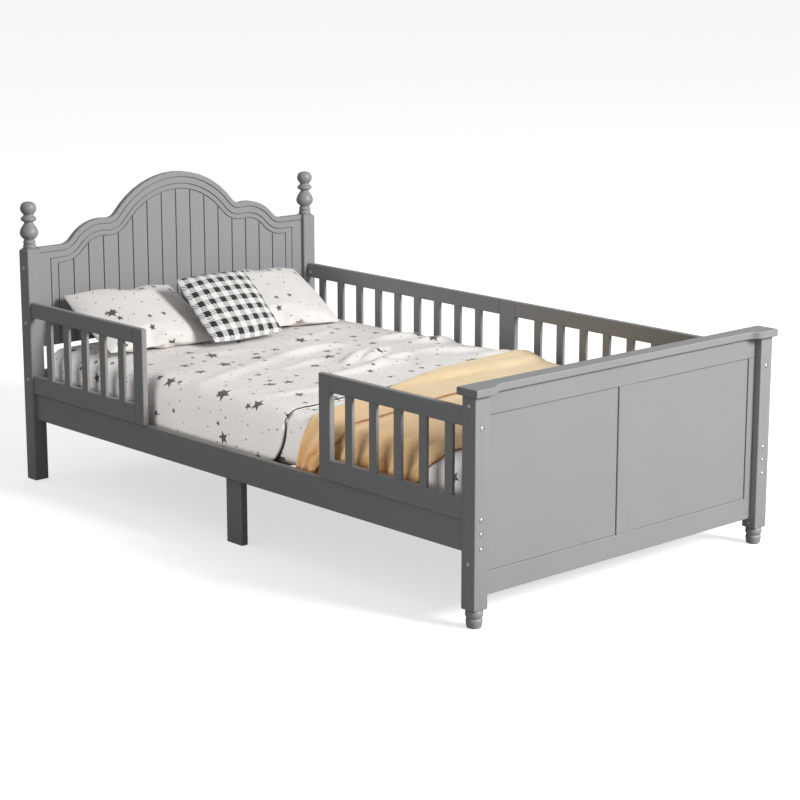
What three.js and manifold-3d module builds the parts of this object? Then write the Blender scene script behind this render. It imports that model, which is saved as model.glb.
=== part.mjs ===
// Toddler bed for a twin mattress: arched headboard, panelled footboard, split guards on one side
// and one long guard on the other, slatted base, mattress and bedding.
// Millimetres. X runs across the bed, Y from foot (-) to head (+), Z up from the floor.

import * as THREE from 'three';
import { ConvexGeometry } from 'three/addons/geometries/ConvexGeometry.js';
import { mergeVertices } from 'three/addons/utils/BufferGeometryUtils.js';
import Module from 'manifold-3d';

const wasm = await Module();
wasm.setup();

// ---- Driving dimensions ----

const BED_WIDTH = 1130;
const BED_LENGTH = 1980;
const POST = 47;
const EASE = 2;

const HALF_WIDTH = BED_WIDTH / 2;
const HALF_LENGTH = BED_LENGTH / 2;
const POST_X = HALF_WIDTH - POST / 2;
const POST_Y = HALF_LENGTH - POST / 2;
const INNER_X = HALF_WIDTH - POST;
const INNER_Y = HALF_LENGTH - POST;

// Head end
const HEAD_POST_TOP = 718;
const HEAD_POST_CHAMFER = 7;
const FINIAL_RADIUS = 28;
const HEADBOARD_FRONT = 955;
const HEADBOARD_BACK = 975;
const HEADBOARD_BOTTOM = 412;
const HEAD_RAIL_TOP = 338;

// Headboard outline: a big middle arch, a smaller hump each side and a flat shoulder
const SHOULDER_TOP = HEAD_POST_TOP;
const ARCH_TOP = 905;
const ARCH_RADIUS = 295;
const HUMP_TOP = 785;
const HUMP_X = 285;
const HUMP_RADIUS = 145;
const ARCH_FILLET = 40;
const SHOULDER_FILLET = 50;
const ARC_STEPS = 8;

// Headboard grooves
const EDGE_GROOVE_INSETS = [17, 38, 54];
const EDGE_GROOVE_WIDTH = 3;
const BORDER_GROOVES_X = [475, 448];
const BOARD_PITCH = 56;
const BOARD_GROOVES_EACH_SIDE = 7;
const BOARD_GROOVE_WIDTH = 4;
const GROOVE_DEPTH = 4;

// Foot end
const FOOT_HEIGHT = 48;
const FOOT_POST_TOP = 588;
const FOOTBOARD_FRONT = -970;
const FOOTBOARD_BACK = -952;
const FOOT_PANEL_FRONT = -966;
const FOOT_PANEL_BACK = -956;
const FOOT_BOTTOM_RAIL = [76, 136];
const FOOT_TOP_RAIL = [532, FOOT_POST_TOP];
const FOOT_SIDE_STILE_X = 492;
const FOOT_MID_STILE_HALF = 30;
const FOOT_CROSS_RAIL_BACK = -930;

// Footboard cap
const CAP_TOP = 608;
const CAP_END_X = 572;
const CAP_FRONT = -1002;
const CAP_BACK = -931;
const CAP_WAIST_FRONT = -980;
const CAP_STEP_X = [462, 522];

// Side rails and guards
const RAIL_BOTTOM = 190;
const RAIL_TOP = 272;
const RAIL_THICKNESS = 20;
const RAIL_OUTER_X = HALF_WIDTH - 13.5;
const RAIL_INNER_X = RAIL_OUTER_X - RAIL_THICKNESS;
const GUARD_TOP = 555;
const GUARD_TOP_RAIL = 46;
const GUARD_BOTTOM_RAIL = 56;
const GUARD_THICKNESS = 18;
const GUARD_STILE = 45;
const LEFT_GUARD_OUTER_X = -559;
const RIGHT_GUARD_INNER_X = RAIL_INNER_X;
const FOOT_GUARD_END = -399;
const HEAD_GUARD_END = 377;
const BALUSTER_WIDTH = 28;
const BALUSTER_THICKNESS = 10;
const BALUSTER_SETBACK = 1.5;
const BALUSTER_PITCH = 93;
const BALUSTERS_PER_SHORT_GUARD = 5;
const FOOT_GUARD_FIRST_BALUSTER = -516;
const HEAD_GUARD_FIRST_BALUSTER = 485;
const LONG_GUARD_STILE = 68;
const LONG_GUARD_FIRST_BALUSTER = 128;
const BALUSTERS_PER_LADDER = 9;
const TENON = 12;

// Mattress base
const LEDGER_BOTTOM = 215;
const LEDGER_TOP = 235;
const LEDGER_WIDTH = 20;
const LEDGER_ENDS = [-920, 940];
const MID_LEG_WIDTH = 68;
const MID_LEG_THICKNESS = 22;
const BEAM_WIDTH = 44;
const CENTRE_LEG = 45;
const SLAT_COUNT = 10;
const SLAT_WIDTH = 90;
const SLAT_THICKNESS = 12;
const SLAT_PITCH = 192;
const SLAT_HALF_LENGTH = 527;

// Bedding
const MATTRESS_HALF_WIDTH = 495;
const MATTRESS_ENDS = [-951, 954];
const MATTRESS_BOTTOM = 247.5;
const MATTRESS_TOP = 385;
const DUVET_ENDS = [-946, 945];
const DUVET_TOP = 411;
const DUVET_HALF_WIDTH = 512;
const DUVET_SIDE = 14;
const DUVET_HEM = 252;
const THROW_ENDS = [-800, -170];
const THROW_THICKNESS = 9;
const THROW_NEAR_X = -526;
const THROW_FAR_X = 500;
const THROW_HEM = 284;
const PILLOW_SIZE = [380, 300, 95];
const CUSHION_SIZE = [255, 255, 76];
const PILLOW_EDGE = 16;
const PILLOW_CROWN = 0.6;

// ---- Materials ----

const finish = (color, roughness) => new THREE.MeshStandardMaterial({ color, roughness, metalness: 0 });
const greyPaint = finish(0x7c7e82, 0.5);
const slatPine = finish(0xc9a878, 0.7);
const mattressTicking = finish(0xe6e3dc, 0.9);
const starCotton = finish(0xe9e4da, 0.9);
const checkCotton = finish(0x6a6a6a, 0.9);
const amberFleece = finish(0xdba45c, 0.95);

// ---- Shape helpers ----

// A box with eased edges. `along` names the axis whose end faces stay sharp so that
// the piece can butt against its neighbour; 'none' eases every edge.
function easedBox(sizeX, sizeY, sizeZ, along = 'none', ease = EASE) {
  const half = [sizeX / 2, sizeY / 2, sizeZ / 2];
  const sharpAxis = ['x', 'y', 'z'].indexOf(along);
  const points = [];
  for (const sx of [-1, 1]) {
    for (const sy of [-1, 1]) {
      for (const sz of [-1, 1]) {
        const signs = [sx, sy, sz];
        for (let face = 0; face < 3; face += 1) {
          if (face === sharpAxis) continue;
          const corner = half.map((h, axis) => {
            const inset = axis === face || axis === sharpAxis ? 0 : ease;
            return signs[axis] * (h - inset);
          });
          points.push(new THREE.Vector3(...corner));
        }
      }
    }
  }
  return new ConvexGeometry(points);
}

// A square post standing on z = 0, with eased long edges and its own chamfer at each end.
function squarePost(width, height, bottomChamfer, topChamfer) {
  const levels = [
    [0, width / 2 - bottomChamfer],
    [bottomChamfer, width / 2],
    [height - topChamfer, width / 2],
    [height, width / 2 - topChamfer],
  ];
  const points = [];
  for (const [z, half] of levels) {
    for (const sx of [-1, 1]) {
      for (const sy of [-1, 1]) {
        points.push(new THREE.Vector3(sx * half, sy * (half - EASE), z));
        points.push(new THREE.Vector3(sx * (half - EASE), sy * half, z));
      }
    }
  }
  return new ConvexGeometry(points);
}

// A turned piece whose profile is a list of [radius, height] points, closed on the axis.
function turned(profile, segments = 24) {
  const points = profile.map(([radius, height]) => new THREE.Vector2(radius, height));
  const geometry = new THREE.LatheGeometry(points, segments);
  geometry.rotateX(Math.PI / 2);
  return geometry;
}

// Points [radius, height] along a round bead from its lower neck to its upper neck.
function bead(neckRadius, bellyRadius, bottom, top, steps) {
  const points = [];
  for (let i = 0; i <= steps; i += 1) {
    const t = i / steps;
    const radius = neckRadius + (bellyRadius - neckRadius) * Math.sin(Math.PI * t);
    points.push([radius, bottom + (top - bottom) * (1 - Math.cos(Math.PI * t)) / 2]);
  }
  return points;
}

// Extrudes an XZ outline through y, from `front` to `back`.
function slabThroughY(shape, front, back, bevel = 0) {
  const geometry = new THREE.ExtrudeGeometry(shape, {
    depth: back - front - 2 * bevel,
    bevelEnabled: bevel > 0,
    bevelThickness: bevel,
    bevelSize: bevel,
    bevelOffset: -bevel,
    bevelSegments: 1,
  });
  geometry.rotateX(Math.PI / 2);
  geometry.translate(0, back - bevel, 0);
  return geometry;
}

function toSolid(geometry) {
  const bare = geometry.clone();
  bare.deleteAttribute('normal');
  bare.deleteAttribute('uv');
  const merged = mergeVertices(bare, 1e-3);
  return new wasm.Manifold(new wasm.Mesh({
    numProp: 3,
    vertProperties: new Float32Array(merged.attributes.position.array),
    triVerts: new Uint32Array(merged.index.array),
  }));
}

function toGeometry(solid) {
  const mesh = solid.getMesh();
  const geometry = new THREE.BufferGeometry();
  geometry.setAttribute('position', new THREE.BufferAttribute(mesh.vertProperties, 3));
  geometry.setIndex(new THREE.BufferAttribute(mesh.triVerts, 1));
  geometry.computeVertexNormals();
  return geometry;
}

const joined = (geometries) => geometries.map(toSolid).reduce((whole, piece) => whole.add(piece));

// ---- Assembly ----

const bed = new THREE.Group();
const assembly = new THREE.Group();
// The cap's front edge and the finials' backs are the bed's two ends: the origin lies midway.
assembly.position.y = -(CAP_FRONT + POST_Y + FINIAL_RADIUS) / 2;
bed.add(assembly);

function place(name, geometry, material, x = 0, y = 0, z = 0) {
  const mesh = new THREE.Mesh(geometry, material);
  mesh.name = name;
  mesh.position.set(x, y, z);
  assembly.add(mesh);
  return mesh;
}

// Places an eased board given by its lowest and highest corner.
function board(name, low, high, along, material = greyPaint, ease = EASE) {
  const size = low.map((value, axis) => high[axis] - value);
  const middle = low.map((value, axis) => (value + high[axis]) / 2);
  return place(name, easedBox(...size, along, ease), material, ...middle);
}

const SIDES = [['left', -1], ['right', 1]];

// Lowest and highest x of a strip given by its distances from the centre line, on one side.
const acrossSide = (sign, inner, outer) => (sign < 0 ? [-outer, -inner] : [inner, outer]);

// ---- Head end ----

function finialGeometry() {
  return turned([
    [0, 0],
    [19, 0],
    ...bead(17, 19.5, 1, 12, 4),
    ...bead(16, 18.5, 13, 23, 4),
    [15, 26],
    [22, 33],
    [26.5, 40],
    [FINIAL_RADIUS, 47],
    [26.5, 54],
    [22.5, 63],
    [17, 71],
    [13.5, 77],
    [14, 80],
    [20.5, 83],
    [23.6, 88],
    [22.5, 93],
    [17, 97],
    [15, 101],
    [16, 104],
    [20.5, 109],
    [23.5, 115],
    [24.4, 121],
    [23.5, 127],
    [20.5, 133.5],
    [15.5, 138],
    [8, 140.6],
    [0, 141.2],
  ]);
}

for (const [side, sign] of SIDES) {
  const post = squarePost(POST, HEAD_POST_TOP, EASE / 2, HEAD_POST_CHAMFER);
  place(`head_post_${side}`, post, greyPaint, sign * POST_X, POST_Y, 0);
  place(`finial_${side}`, finialGeometry(), greyPaint, sign * POST_X, POST_Y, HEAD_POST_TOP);
}

// The headboard's top edge as points from x = +INNER_X to x = -INNER_X, `inset` inside the edge.
// Every arc keeps its centre, so the convex radii shrink and the fillet radii grow with the inset.
function archEdge(inset, endX = INNER_X) {
  const archCentre = new THREE.Vector2(0, ARCH_TOP - ARCH_RADIUS);
  const humpCentre = new THREE.Vector2(HUMP_X, HUMP_TOP - HUMP_RADIUS);
  const filletCentre = circleCrossing(
    archCentre,
    ARCH_RADIUS + ARCH_FILLET,
    humpCentre,
    HUMP_RADIUS + ARCH_FILLET,
  );
  const shoulderReach = HUMP_RADIUS + SHOULDER_FILLET;
  const shoulderRise = SHOULDER_TOP + SHOULDER_FILLET - humpCentre.y;
  const shoulderRun = Math.sqrt(shoulderReach ** 2 - shoulderRise ** 2);
  const shoulderCentre = new THREE.Vector2(HUMP_X + shoulderRun, SHOULDER_TOP + SHOULDER_FILLET);
  const towards = (from, to) => Math.atan2(to.y - from.y, to.x - from.x);

  const half = [new THREE.Vector2(endX, SHOULDER_TOP - inset)];
  const down = -Math.PI / 2;
  const shoulderToHump = towards(shoulderCentre, humpCentre);
  half.push(...arc(shoulderCentre, SHOULDER_FILLET + inset, down, shoulderToHump));
  const humpToShoulder = shoulderToHump + Math.PI;
  const humpToFillet = towards(humpCentre, filletCentre);
  half.push(...arc(humpCentre, HUMP_RADIUS - inset, humpToShoulder, humpToFillet));
  const archToFillet = towards(archCentre, filletCentre);
  half.push(...arc(filletCentre, ARCH_FILLET + inset, humpToFillet - Math.PI, archToFillet - Math.PI));
  half.push(...arc(archCentre, ARCH_RADIUS - inset, archToFillet, Math.PI / 2));
  const mirrored = half.slice(0, -1).reverse().map((point) => new THREE.Vector2(-point.x, point.y));
  return [...half, ...mirrored];
}

// Points of an arc after its start, swept the short way round.
function arc(centre, radius, start, end) {
  const sweep = Math.atan2(Math.sin(end - start), Math.cos(end - start));
  const points = [];
  for (let i = 0; i <= ARC_STEPS; i += 1) {
    const angle = start + sweep * i / ARC_STEPS;
    points.push(new THREE.Vector2(
      centre.x + radius * Math.cos(angle),
      centre.y + radius * Math.sin(angle),
    ));
  }
  return points;
}

// The upper crossing of two circles.
function circleCrossing(centreA, radiusA, centreB, radiusB) {
  const gap = centreA.distanceTo(centreB);
  const along = (gap ** 2 + radiusA ** 2 - radiusB ** 2) / (2 * gap);
  const aside = Math.sqrt(radiusA ** 2 - along ** 2);
  const unit = centreB.clone().sub(centreA).divideScalar(gap);
  return new THREE.Vector2(
    centreA.x + unit.x * along - unit.y * aside,
    centreA.y + unit.y * along + unit.x * aside,
  );
}

// Drops points that repeat where two arcs meet.
function withoutRepeats(points) {
  return points.filter((point, i) => i === 0 || point.distanceTo(points[i - 1]) > 0.05);
}

// An outline closed below by a straight edge at `bottom`.
function archShape(inset, endX, bottom) {
  const edge = withoutRepeats(archEdge(inset, endX));
  return new THREE.Shape([new THREE.Vector2(-endX, bottom), new THREE.Vector2(endX, bottom), ...edge]);
}

function headboardGeometry() {
  const grooveFloor = HEADBOARD_FRONT + GROOVE_DEPTH;
  const above = HEADBOARD_FRONT - 5;
  const below = HEADBOARD_BOTTOM - 5;
  const cut = (shape) => toSolid(slabThroughY(shape, above, grooveFloor));
  const reaches = [INNER_X + 5, ...BORDER_GROOVES_X];
  let panel = toSolid(slabThroughY(
    archShape(0, INNER_X, HEADBOARD_BOTTOM),
    HEADBOARD_FRONT,
    HEADBOARD_BACK,
    EASE,
  ));
  EDGE_GROOVE_INSETS.forEach((inset, i) => {
    const halfGroove = EDGE_GROOVE_WIDTH / 2;
    const outer = cut(archShape(inset - halfGroove, reaches[i] + halfGroove, below));
    const inner = cut(archShape(inset + halfGroove, reaches[i] - halfGroove, below - 10));
    panel = panel.subtract(outer.subtract(inner));
  });
  const lastInset = EDGE_GROOVE_INSETS[EDGE_GROOVE_INSETS.length - 1];
  const lastReach = reaches[reaches.length - 1];
  const field = cut(archShape(lastInset, lastReach, below));
  for (let i = -BOARD_GROOVES_EACH_SIDE; i <= BOARD_GROOVES_EACH_SIDE; i += 1) {
    const slot = new THREE.BoxGeometry(BOARD_GROOVE_WIDTH, 40, ARCH_TOP);
    slot.translate(i * BOARD_PITCH, HEADBOARD_FRONT, ARCH_TOP / 2);
    panel = panel.subtract(toSolid(slot).intersect(field));
  }
  return toGeometry(panel);
}

place('headboard_panel', headboardGeometry(), greyPaint);
board(
  'head_cross_rail',
  [-INNER_X, HEADBOARD_FRONT, RAIL_BOTTOM],
  [INNER_X, HEADBOARD_BACK, HEAD_RAIL_TOP],
  'x',
);

// ---- Foot end ----

// A foot post is one stick: the square above, and the foot that is turned below it.
function footPostGeometry() {
  const square = squarePost(POST, FOOT_POST_TOP - FOOT_HEIGHT, EASE, EASE / 2);
  square.translate(0, 0, FOOT_HEIGHT);
  const foot = turned([
    [0, 0],
    [15, 0],
    [18.5, 2],
    [19.5, 6],
    [21, 14],
    [21.5, 20],
    [20.5, 23.5],
    [19.5, 25],
    [20, 27],
    [22, 30],
    [23, 36],
    [22.5, 42],
    [20.5, 46],
    [19, FOOT_HEIGHT],
    [19, FOOT_HEIGHT + TENON],
    [0, FOOT_HEIGHT + TENON],
  ]);
  return toGeometry(joined([square, foot]));
}

for (const [side, sign] of SIDES) {
  place(`foot_post_${side}`, footPostGeometry(), greyPaint, sign * POST_X, -POST_Y, 0);
}

function footboardMember(name, xRange, zRange, along, yRange = [FOOTBOARD_FRONT, FOOTBOARD_BACK]) {
  const low = [xRange[0], yRange[0], zRange[0]];
  const high = [xRange[1], yRange[1], zRange[1]];
  return board(name, low, high, along, greyPaint, 1);
}

footboardMember('footboard_top_rail', [-INNER_X, INNER_X], FOOT_TOP_RAIL, 'x');
footboardMember('footboard_bottom_rail', [-INNER_X, INNER_X], FOOT_BOTTOM_RAIL, 'x');

const STILE_SPAN = [FOOT_BOTTOM_RAIL[1], FOOT_TOP_RAIL[0]];
footboardMember('footboard_middle_stile', [-FOOT_MID_STILE_HALF, FOOT_MID_STILE_HALF], STILE_SPAN, 'z');
for (const [side, sign] of SIDES) {
  const stile = acrossSide(sign, FOOT_SIDE_STILE_X, INNER_X);
  const panel = acrossSide(sign, FOOT_MID_STILE_HALF, FOOT_SIDE_STILE_X);
  footboardMember(`footboard_stile_${side}`, stile, STILE_SPAN, 'z');
  const panelDepth = [FOOT_PANEL_FRONT, FOOT_PANEL_BACK];
  footboardMember(`footboard_panel_${side}`, panel, STILE_SPAN, 'none', panelDepth);
}
board(
  'foot_cross_rail',
  [-INNER_X, FOOTBOARD_BACK, RAIL_BOTTOM],
  [INNER_X, FOOT_CROSS_RAIL_BACK, LEDGER_TOP],
  'x',
);

// The cap is deeper over the posts and steps back in an S-curve along the panels.
function capGeometry() {
  const [stepInner, stepOuter] = CAP_STEP_X;
  const run = stepOuter - stepInner;
  const middleY = (CAP_FRONT + CAP_WAIST_FRONT) / 2;
  const shape = new THREE.Shape();
  shape.moveTo(-CAP_END_X, CAP_BACK);
  shape.lineTo(-CAP_END_X, CAP_FRONT);
  shape.lineTo(-stepOuter, CAP_FRONT);
  shape.quadraticCurveTo(-stepOuter + run / 3, CAP_FRONT, -stepOuter + run / 2, middleY);
  shape.quadraticCurveTo(-stepInner - run / 3, CAP_WAIST_FRONT, -stepInner, CAP_WAIST_FRONT);
  shape.lineTo(stepInner, CAP_WAIST_FRONT);
  shape.quadraticCurveTo(stepInner + run / 3, CAP_WAIST_FRONT, stepInner + run / 2, middleY);
  shape.quadraticCurveTo(stepOuter - run / 3, CAP_FRONT, stepOuter, CAP_FRONT);
  shape.lineTo(CAP_END_X, CAP_FRONT);
  shape.lineTo(CAP_END_X, CAP_BACK);
  const geometry = new THREE.ExtrudeGeometry(shape, {
    depth: CAP_TOP - FOOT_POST_TOP - 2 * EASE,
    curveSegments: 5,
    bevelThickness: EASE,
    bevelSize: EASE,
    bevelOffset: -EASE,
    bevelSegments: 1,
  });
  geometry.translate(0, 0, FOOT_POST_TOP + EASE);
  return geometry;
}

place('footboard_cap', capGeometry(), greyPaint);

// ---- Sides ----

for (const [side, sign] of SIDES) {
  const [low, high] = acrossSide(sign, RAIL_INNER_X, RAIL_OUTER_X);
  board(`side_rail_${side}`, [low, -INNER_Y, RAIL_BOTTOM], [high, INNER_Y, RAIL_TOP], 'y');
}

const GUARD_SLOT = [RAIL_TOP + GUARD_BOTTOM_RAIL, GUARD_TOP - GUARD_TOP_RAIL];

// A short guard on the left side: a full-height stile at its free end, two rails and balusters.
function shortGuard(label, stileRange, railRange, firstBaluster, step) {
  const outer = LEFT_GUARD_OUTER_X;
  const inner = outer + GUARD_THICKNESS;
  board(`${label}_stile`, [outer, stileRange[0], RAIL_TOP], [inner, stileRange[1], GUARD_TOP], 'none');
  board(
    `${label}_bottom_rail`,
    [outer, railRange[0], RAIL_TOP],
    [inner, railRange[1], GUARD_SLOT[0]],
    'y',
  );
  board(`${label}_top_rail`, [outer, railRange[0], GUARD_SLOT[1]], [inner, railRange[1], GUARD_TOP], 'y');
  for (let i = 0; i < BALUSTERS_PER_SHORT_GUARD; i += 1) {
    const middle = firstBaluster + i * step;
    const low = [outer + BALUSTER_SETBACK, middle - BALUSTER_WIDTH / 2, GUARD_SLOT[0]];
    const high = [low[0] + BALUSTER_THICKNESS, middle + BALUSTER_WIDTH / 2, GUARD_SLOT[1]];
    board(`${label}_baluster_${i + 1}`, low, high, 'z', greyPaint, 1);
  }
}

shortGuard(
  'foot_guard',
  [FOOT_GUARD_END - GUARD_STILE, FOOT_GUARD_END],
  [-INNER_Y, FOOT_GUARD_END - GUARD_STILE],
  FOOT_GUARD_FIRST_BALUSTER,
  -BALUSTER_PITCH,
);
shortGuard(
  'head_guard',
  [HEAD_GUARD_END, HEAD_GUARD_END + GUARD_STILE],
  [HEAD_GUARD_END + GUARD_STILE, INNER_Y],
  HEAD_GUARD_FIRST_BALUSTER,
  BALUSTER_PITCH,
);

// The long guard has a middle stile, and a glued ladder on each side of it: two rails, with
// balusters that run into both.
function longGuardLadderGeometry(sign) {
  const slotMiddle = (GUARD_SLOT[0] + GUARD_SLOT[1]) / 2;
  const tenonedHeight = GUARD_SLOT[1] - GUARD_SLOT[0] + 2 * TENON;
  const railLength = INNER_Y - LONG_GUARD_STILE / 2;
  const railMiddle = sign * (INNER_Y + LONG_GUARD_STILE / 2) / 2;
  const member = (thickness, width, height, y, z, along, ease) => {
    const geometry = easedBox(thickness, width, height, along, ease);
    geometry.translate(0, y, z);
    return geometry;
  };
  const bottomMiddle = RAIL_TOP + GUARD_BOTTOM_RAIL / 2;
  const topMiddle = GUARD_TOP - GUARD_TOP_RAIL / 2;
  const members = [
    member(GUARD_THICKNESS, railLength, GUARD_BOTTOM_RAIL, railMiddle, bottomMiddle, 'y', EASE),
    member(GUARD_THICKNESS, railLength, GUARD_TOP_RAIL, railMiddle, topMiddle, 'y', EASE),
  ];
  for (let i = 0; i < BALUSTERS_PER_LADDER; i += 1) {
    const y = sign * (LONG_GUARD_FIRST_BALUSTER + i * BALUSTER_PITCH);
    const setback = -GUARD_THICKNESS / 2 + BALUSTER_SETBACK + BALUSTER_THICKNESS / 2;
    const baluster = member(BALUSTER_THICKNESS, BALUSTER_WIDTH, tenonedHeight, y, slotMiddle, 'z', 1);
    baluster.translate(setback, 0, 0);
    members.push(baluster);
  }
  return toGeometry(joined(members));
}

const LONG_GUARD_MIDDLE_X = RIGHT_GUARD_INNER_X + GUARD_THICKNESS / 2;
place('long_guard_foot_ladder', longGuardLadderGeometry(-1), greyPaint, LONG_GUARD_MIDDLE_X);
place('long_guard_head_ladder', longGuardLadderGeometry(1), greyPaint, LONG_GUARD_MIDDLE_X);
board(
  'long_guard_middle_stile',
  [RIGHT_GUARD_INNER_X, -LONG_GUARD_STILE / 2, RAIL_TOP],
  [RIGHT_GUARD_INNER_X + GUARD_THICKNESS, LONG_GUARD_STILE / 2, GUARD_TOP],
  'none',
);

// ---- Mattress base ----

for (const [side, sign] of SIDES) {
  const [ledgerLow, ledgerHigh] = acrossSide(sign, RAIL_INNER_X - LEDGER_WIDTH, RAIL_INNER_X);
  board(
    `slat_ledger_${side}`,
    [ledgerLow, LEDGER_ENDS[0], LEDGER_BOTTOM],
    [ledgerHigh, LEDGER_ENDS[1], LEDGER_TOP],
    'y',
    slatPine,
    1,
  );
  const [legLow, legHigh] = acrossSide(sign, RAIL_INNER_X - MID_LEG_THICKNESS, RAIL_INNER_X);
  const halfLeg = MID_LEG_WIDTH / 2;
  board(`middle_leg_${side}`, [legLow, -halfLeg, 0], [legHigh, halfLeg, LEDGER_BOTTOM], 'z');
}

board(
  'centre_beam',
  [-BEAM_WIDTH / 2, FOOT_CROSS_RAIL_BACK, RAIL_BOTTOM],
  [BEAM_WIDTH / 2, HEADBOARD_FRONT, LEDGER_TOP],
  'y',
  slatPine,
);
board(
  'centre_leg',
  [-CENTRE_LEG / 2, -CENTRE_LEG / 2, 0],
  [CENTRE_LEG / 2, CENTRE_LEG / 2, RAIL_BOTTOM],
  'z',
);
for (let i = 0; i < SLAT_COUNT; i += 1) {
  const middle = (i - (SLAT_COUNT - 1) / 2) * SLAT_PITCH;
  board(
    `slat_${i + 1}`,
    [-SLAT_HALF_LENGTH, middle - SLAT_WIDTH / 2, LEDGER_TOP],
    [SLAT_HALF_LENGTH, middle + SLAT_WIDTH / 2, LEDGER_TOP + SLAT_THICKNESS],
    'x',
    slatPine,
    1,
  );
}

// ---- Bedding ----

board(
  'mattress',
  [-MATTRESS_HALF_WIDTH, MATTRESS_ENDS[0], MATTRESS_BOTTOM],
  [MATTRESS_HALF_WIDTH, MATTRESS_ENDS[1], MATTRESS_TOP],
  'none',
  mattressTicking,
  14,
);

// A cover seen end-on: a flat top with a hanging side wherever `hems` gives one.
function coverGeometry(left, right, bottom, top, side, hems, ends) {
  const corner = 10;
  const shape = new THREE.Shape();
  shape.moveTo(left + side, hems.left);
  shape.lineTo(left + side, bottom);
  shape.lineTo(right - (hems.right < bottom ? side : 0), bottom);
  if (hems.right < bottom) {
    shape.lineTo(right - side, hems.right);
    shape.lineTo(right, hems.right);
  }
  shape.lineTo(right, top - corner);
  shape.lineTo(right - corner, top);
  shape.lineTo(left + corner, top);
  shape.lineTo(left, top - corner);
  shape.lineTo(left, hems.left);
  return slabThroughY(shape, ends[0], ends[1]);
}

place('duvet', coverGeometry(
  -DUVET_HALF_WIDTH,
  DUVET_HALF_WIDTH,
  MATTRESS_TOP + 1,
  DUVET_TOP,
  DUVET_SIDE,
  { left: DUVET_HEM, right: DUVET_HEM },
  DUVET_ENDS,
), starCotton);

place('throw_blanket', coverGeometry(
  THROW_NEAR_X,
  THROW_FAR_X,
  DUVET_TOP + 1,
  DUVET_TOP + 1 + THROW_THICKNESS + 2,
  THROW_THICKNESS,
  { left: THROW_HEM, right: DUVET_TOP + 1 },
  THROW_ENDS,
), amberFleece);

// A pillow of the given width, height and thickness: thin at its edges, full in the middle.
function pillowGeometry(width, height, thickness) {
  const points = [];
  for (const sx of [-1, 1]) {
    for (const sy of [-1, 1]) {
      for (const sz of [-1, 1]) {
        points.push(new THREE.Vector3(sx * width / 2, sy * height / 2, sz * PILLOW_EDGE / 2));
        const inner = new THREE.Vector3(sx * width, sy * height, 0).multiplyScalar(PILLOW_CROWN / 2);
        points.push(inner.setZ(sz * thickness / 2));
      }
    }
  }
  return new ConvexGeometry(points);
}

// `lean` is the pillow's angle above the mattress.
function leaningPillow(name, [width, height, thickness], centre, lean, material) {
  const geometry = pillowGeometry(width, height, thickness);
  place(name, geometry, material, ...centre).rotation.x = THREE.MathUtils.degToRad(lean);
}

leaningPillow('pillow_left', PILLOW_SIZE, [-276, 790, 496], 27, starCotton);
leaningPillow('pillow_right', PILLOW_SIZE, [238, 788, 495], 27, starCotton);
leaningPillow('check_cushion', CUSHION_SIZE, [-4, 664, 517], 42, checkCotton);

export default bed;
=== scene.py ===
"""Toddler bed: painted frame, mattress in a star-printed sheet, quilt, pillows, cushion and throw."""

import math

import bmesh
import bpy
from mathutils import Matrix, Vector, noise


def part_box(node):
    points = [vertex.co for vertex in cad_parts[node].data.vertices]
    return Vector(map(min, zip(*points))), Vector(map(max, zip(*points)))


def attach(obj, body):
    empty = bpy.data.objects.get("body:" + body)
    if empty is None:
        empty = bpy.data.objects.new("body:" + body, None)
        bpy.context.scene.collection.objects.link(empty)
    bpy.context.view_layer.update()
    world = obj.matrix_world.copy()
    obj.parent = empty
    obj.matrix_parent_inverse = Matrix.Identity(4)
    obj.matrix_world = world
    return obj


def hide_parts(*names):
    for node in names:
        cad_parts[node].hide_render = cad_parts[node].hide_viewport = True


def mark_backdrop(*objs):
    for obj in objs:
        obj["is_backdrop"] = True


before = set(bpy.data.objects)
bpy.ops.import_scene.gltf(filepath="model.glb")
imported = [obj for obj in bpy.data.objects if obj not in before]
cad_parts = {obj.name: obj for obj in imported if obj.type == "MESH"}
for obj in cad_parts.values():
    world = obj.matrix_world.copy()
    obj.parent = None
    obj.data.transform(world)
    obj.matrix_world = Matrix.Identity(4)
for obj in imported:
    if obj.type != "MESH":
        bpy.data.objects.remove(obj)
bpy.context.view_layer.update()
scene = bpy.context.scene

# ---------------------------------------------------------------- camera

CAMERA_TARGET = Vector((0.0917, 0.0038, 0.3132))
CAMERA_AZIMUTH = math.radians(-42.326)
CAMERA_ELEVATION = math.radians(12.949)
CAMERA_DISTANCE = 6.538
CAMERA_LENS = 100.23


def direction(azimuth, elevation):
    """Unit vector towards a viewer at this azimuth (0 looks along +Y) and elevation."""
    flat = math.cos(elevation)
    return Vector((math.sin(azimuth) * flat, -math.cos(azimuth) * flat, math.sin(elevation)))


camera_data = bpy.data.cameras.new("camera")
camera_data.lens = CAMERA_LENS
camera = bpy.data.objects.new("camera", camera_data)
scene.collection.objects.link(camera)
toward_viewer = direction(CAMERA_AZIMUTH, CAMERA_ELEVATION)
camera.location = CAMERA_TARGET + toward_viewer * CAMERA_DISTANCE
camera.rotation_euler = toward_viewer.to_track_quat("Z", "Y").to_euler()
scene.camera = camera

# ---------------------------------------------------------------- helpers


def box(node):
    low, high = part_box(node)
    return Vector(low), Vector(high)


def smoothstep(low, high, value):
    t = min(max((value - low) / (high - low), 0.0), 1.0)
    return t * t * (3 - 2 * t)


def select_only(obj):
    for other in list(bpy.context.selected_objects):
        other.select_set(False)
    obj.select_set(True)
    bpy.context.view_layer.objects.active = obj


def apply_modifier(obj, name, kind, **settings):
    """Adds a modifier with these settings and applies it."""
    modifier = obj.modifiers.new(name, kind)
    for key, value in settings.items():
        setattr(modifier, key, value)
    select_only(obj)
    bpy.ops.object.modifier_apply(modifier=modifier.name)
    return obj


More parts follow.
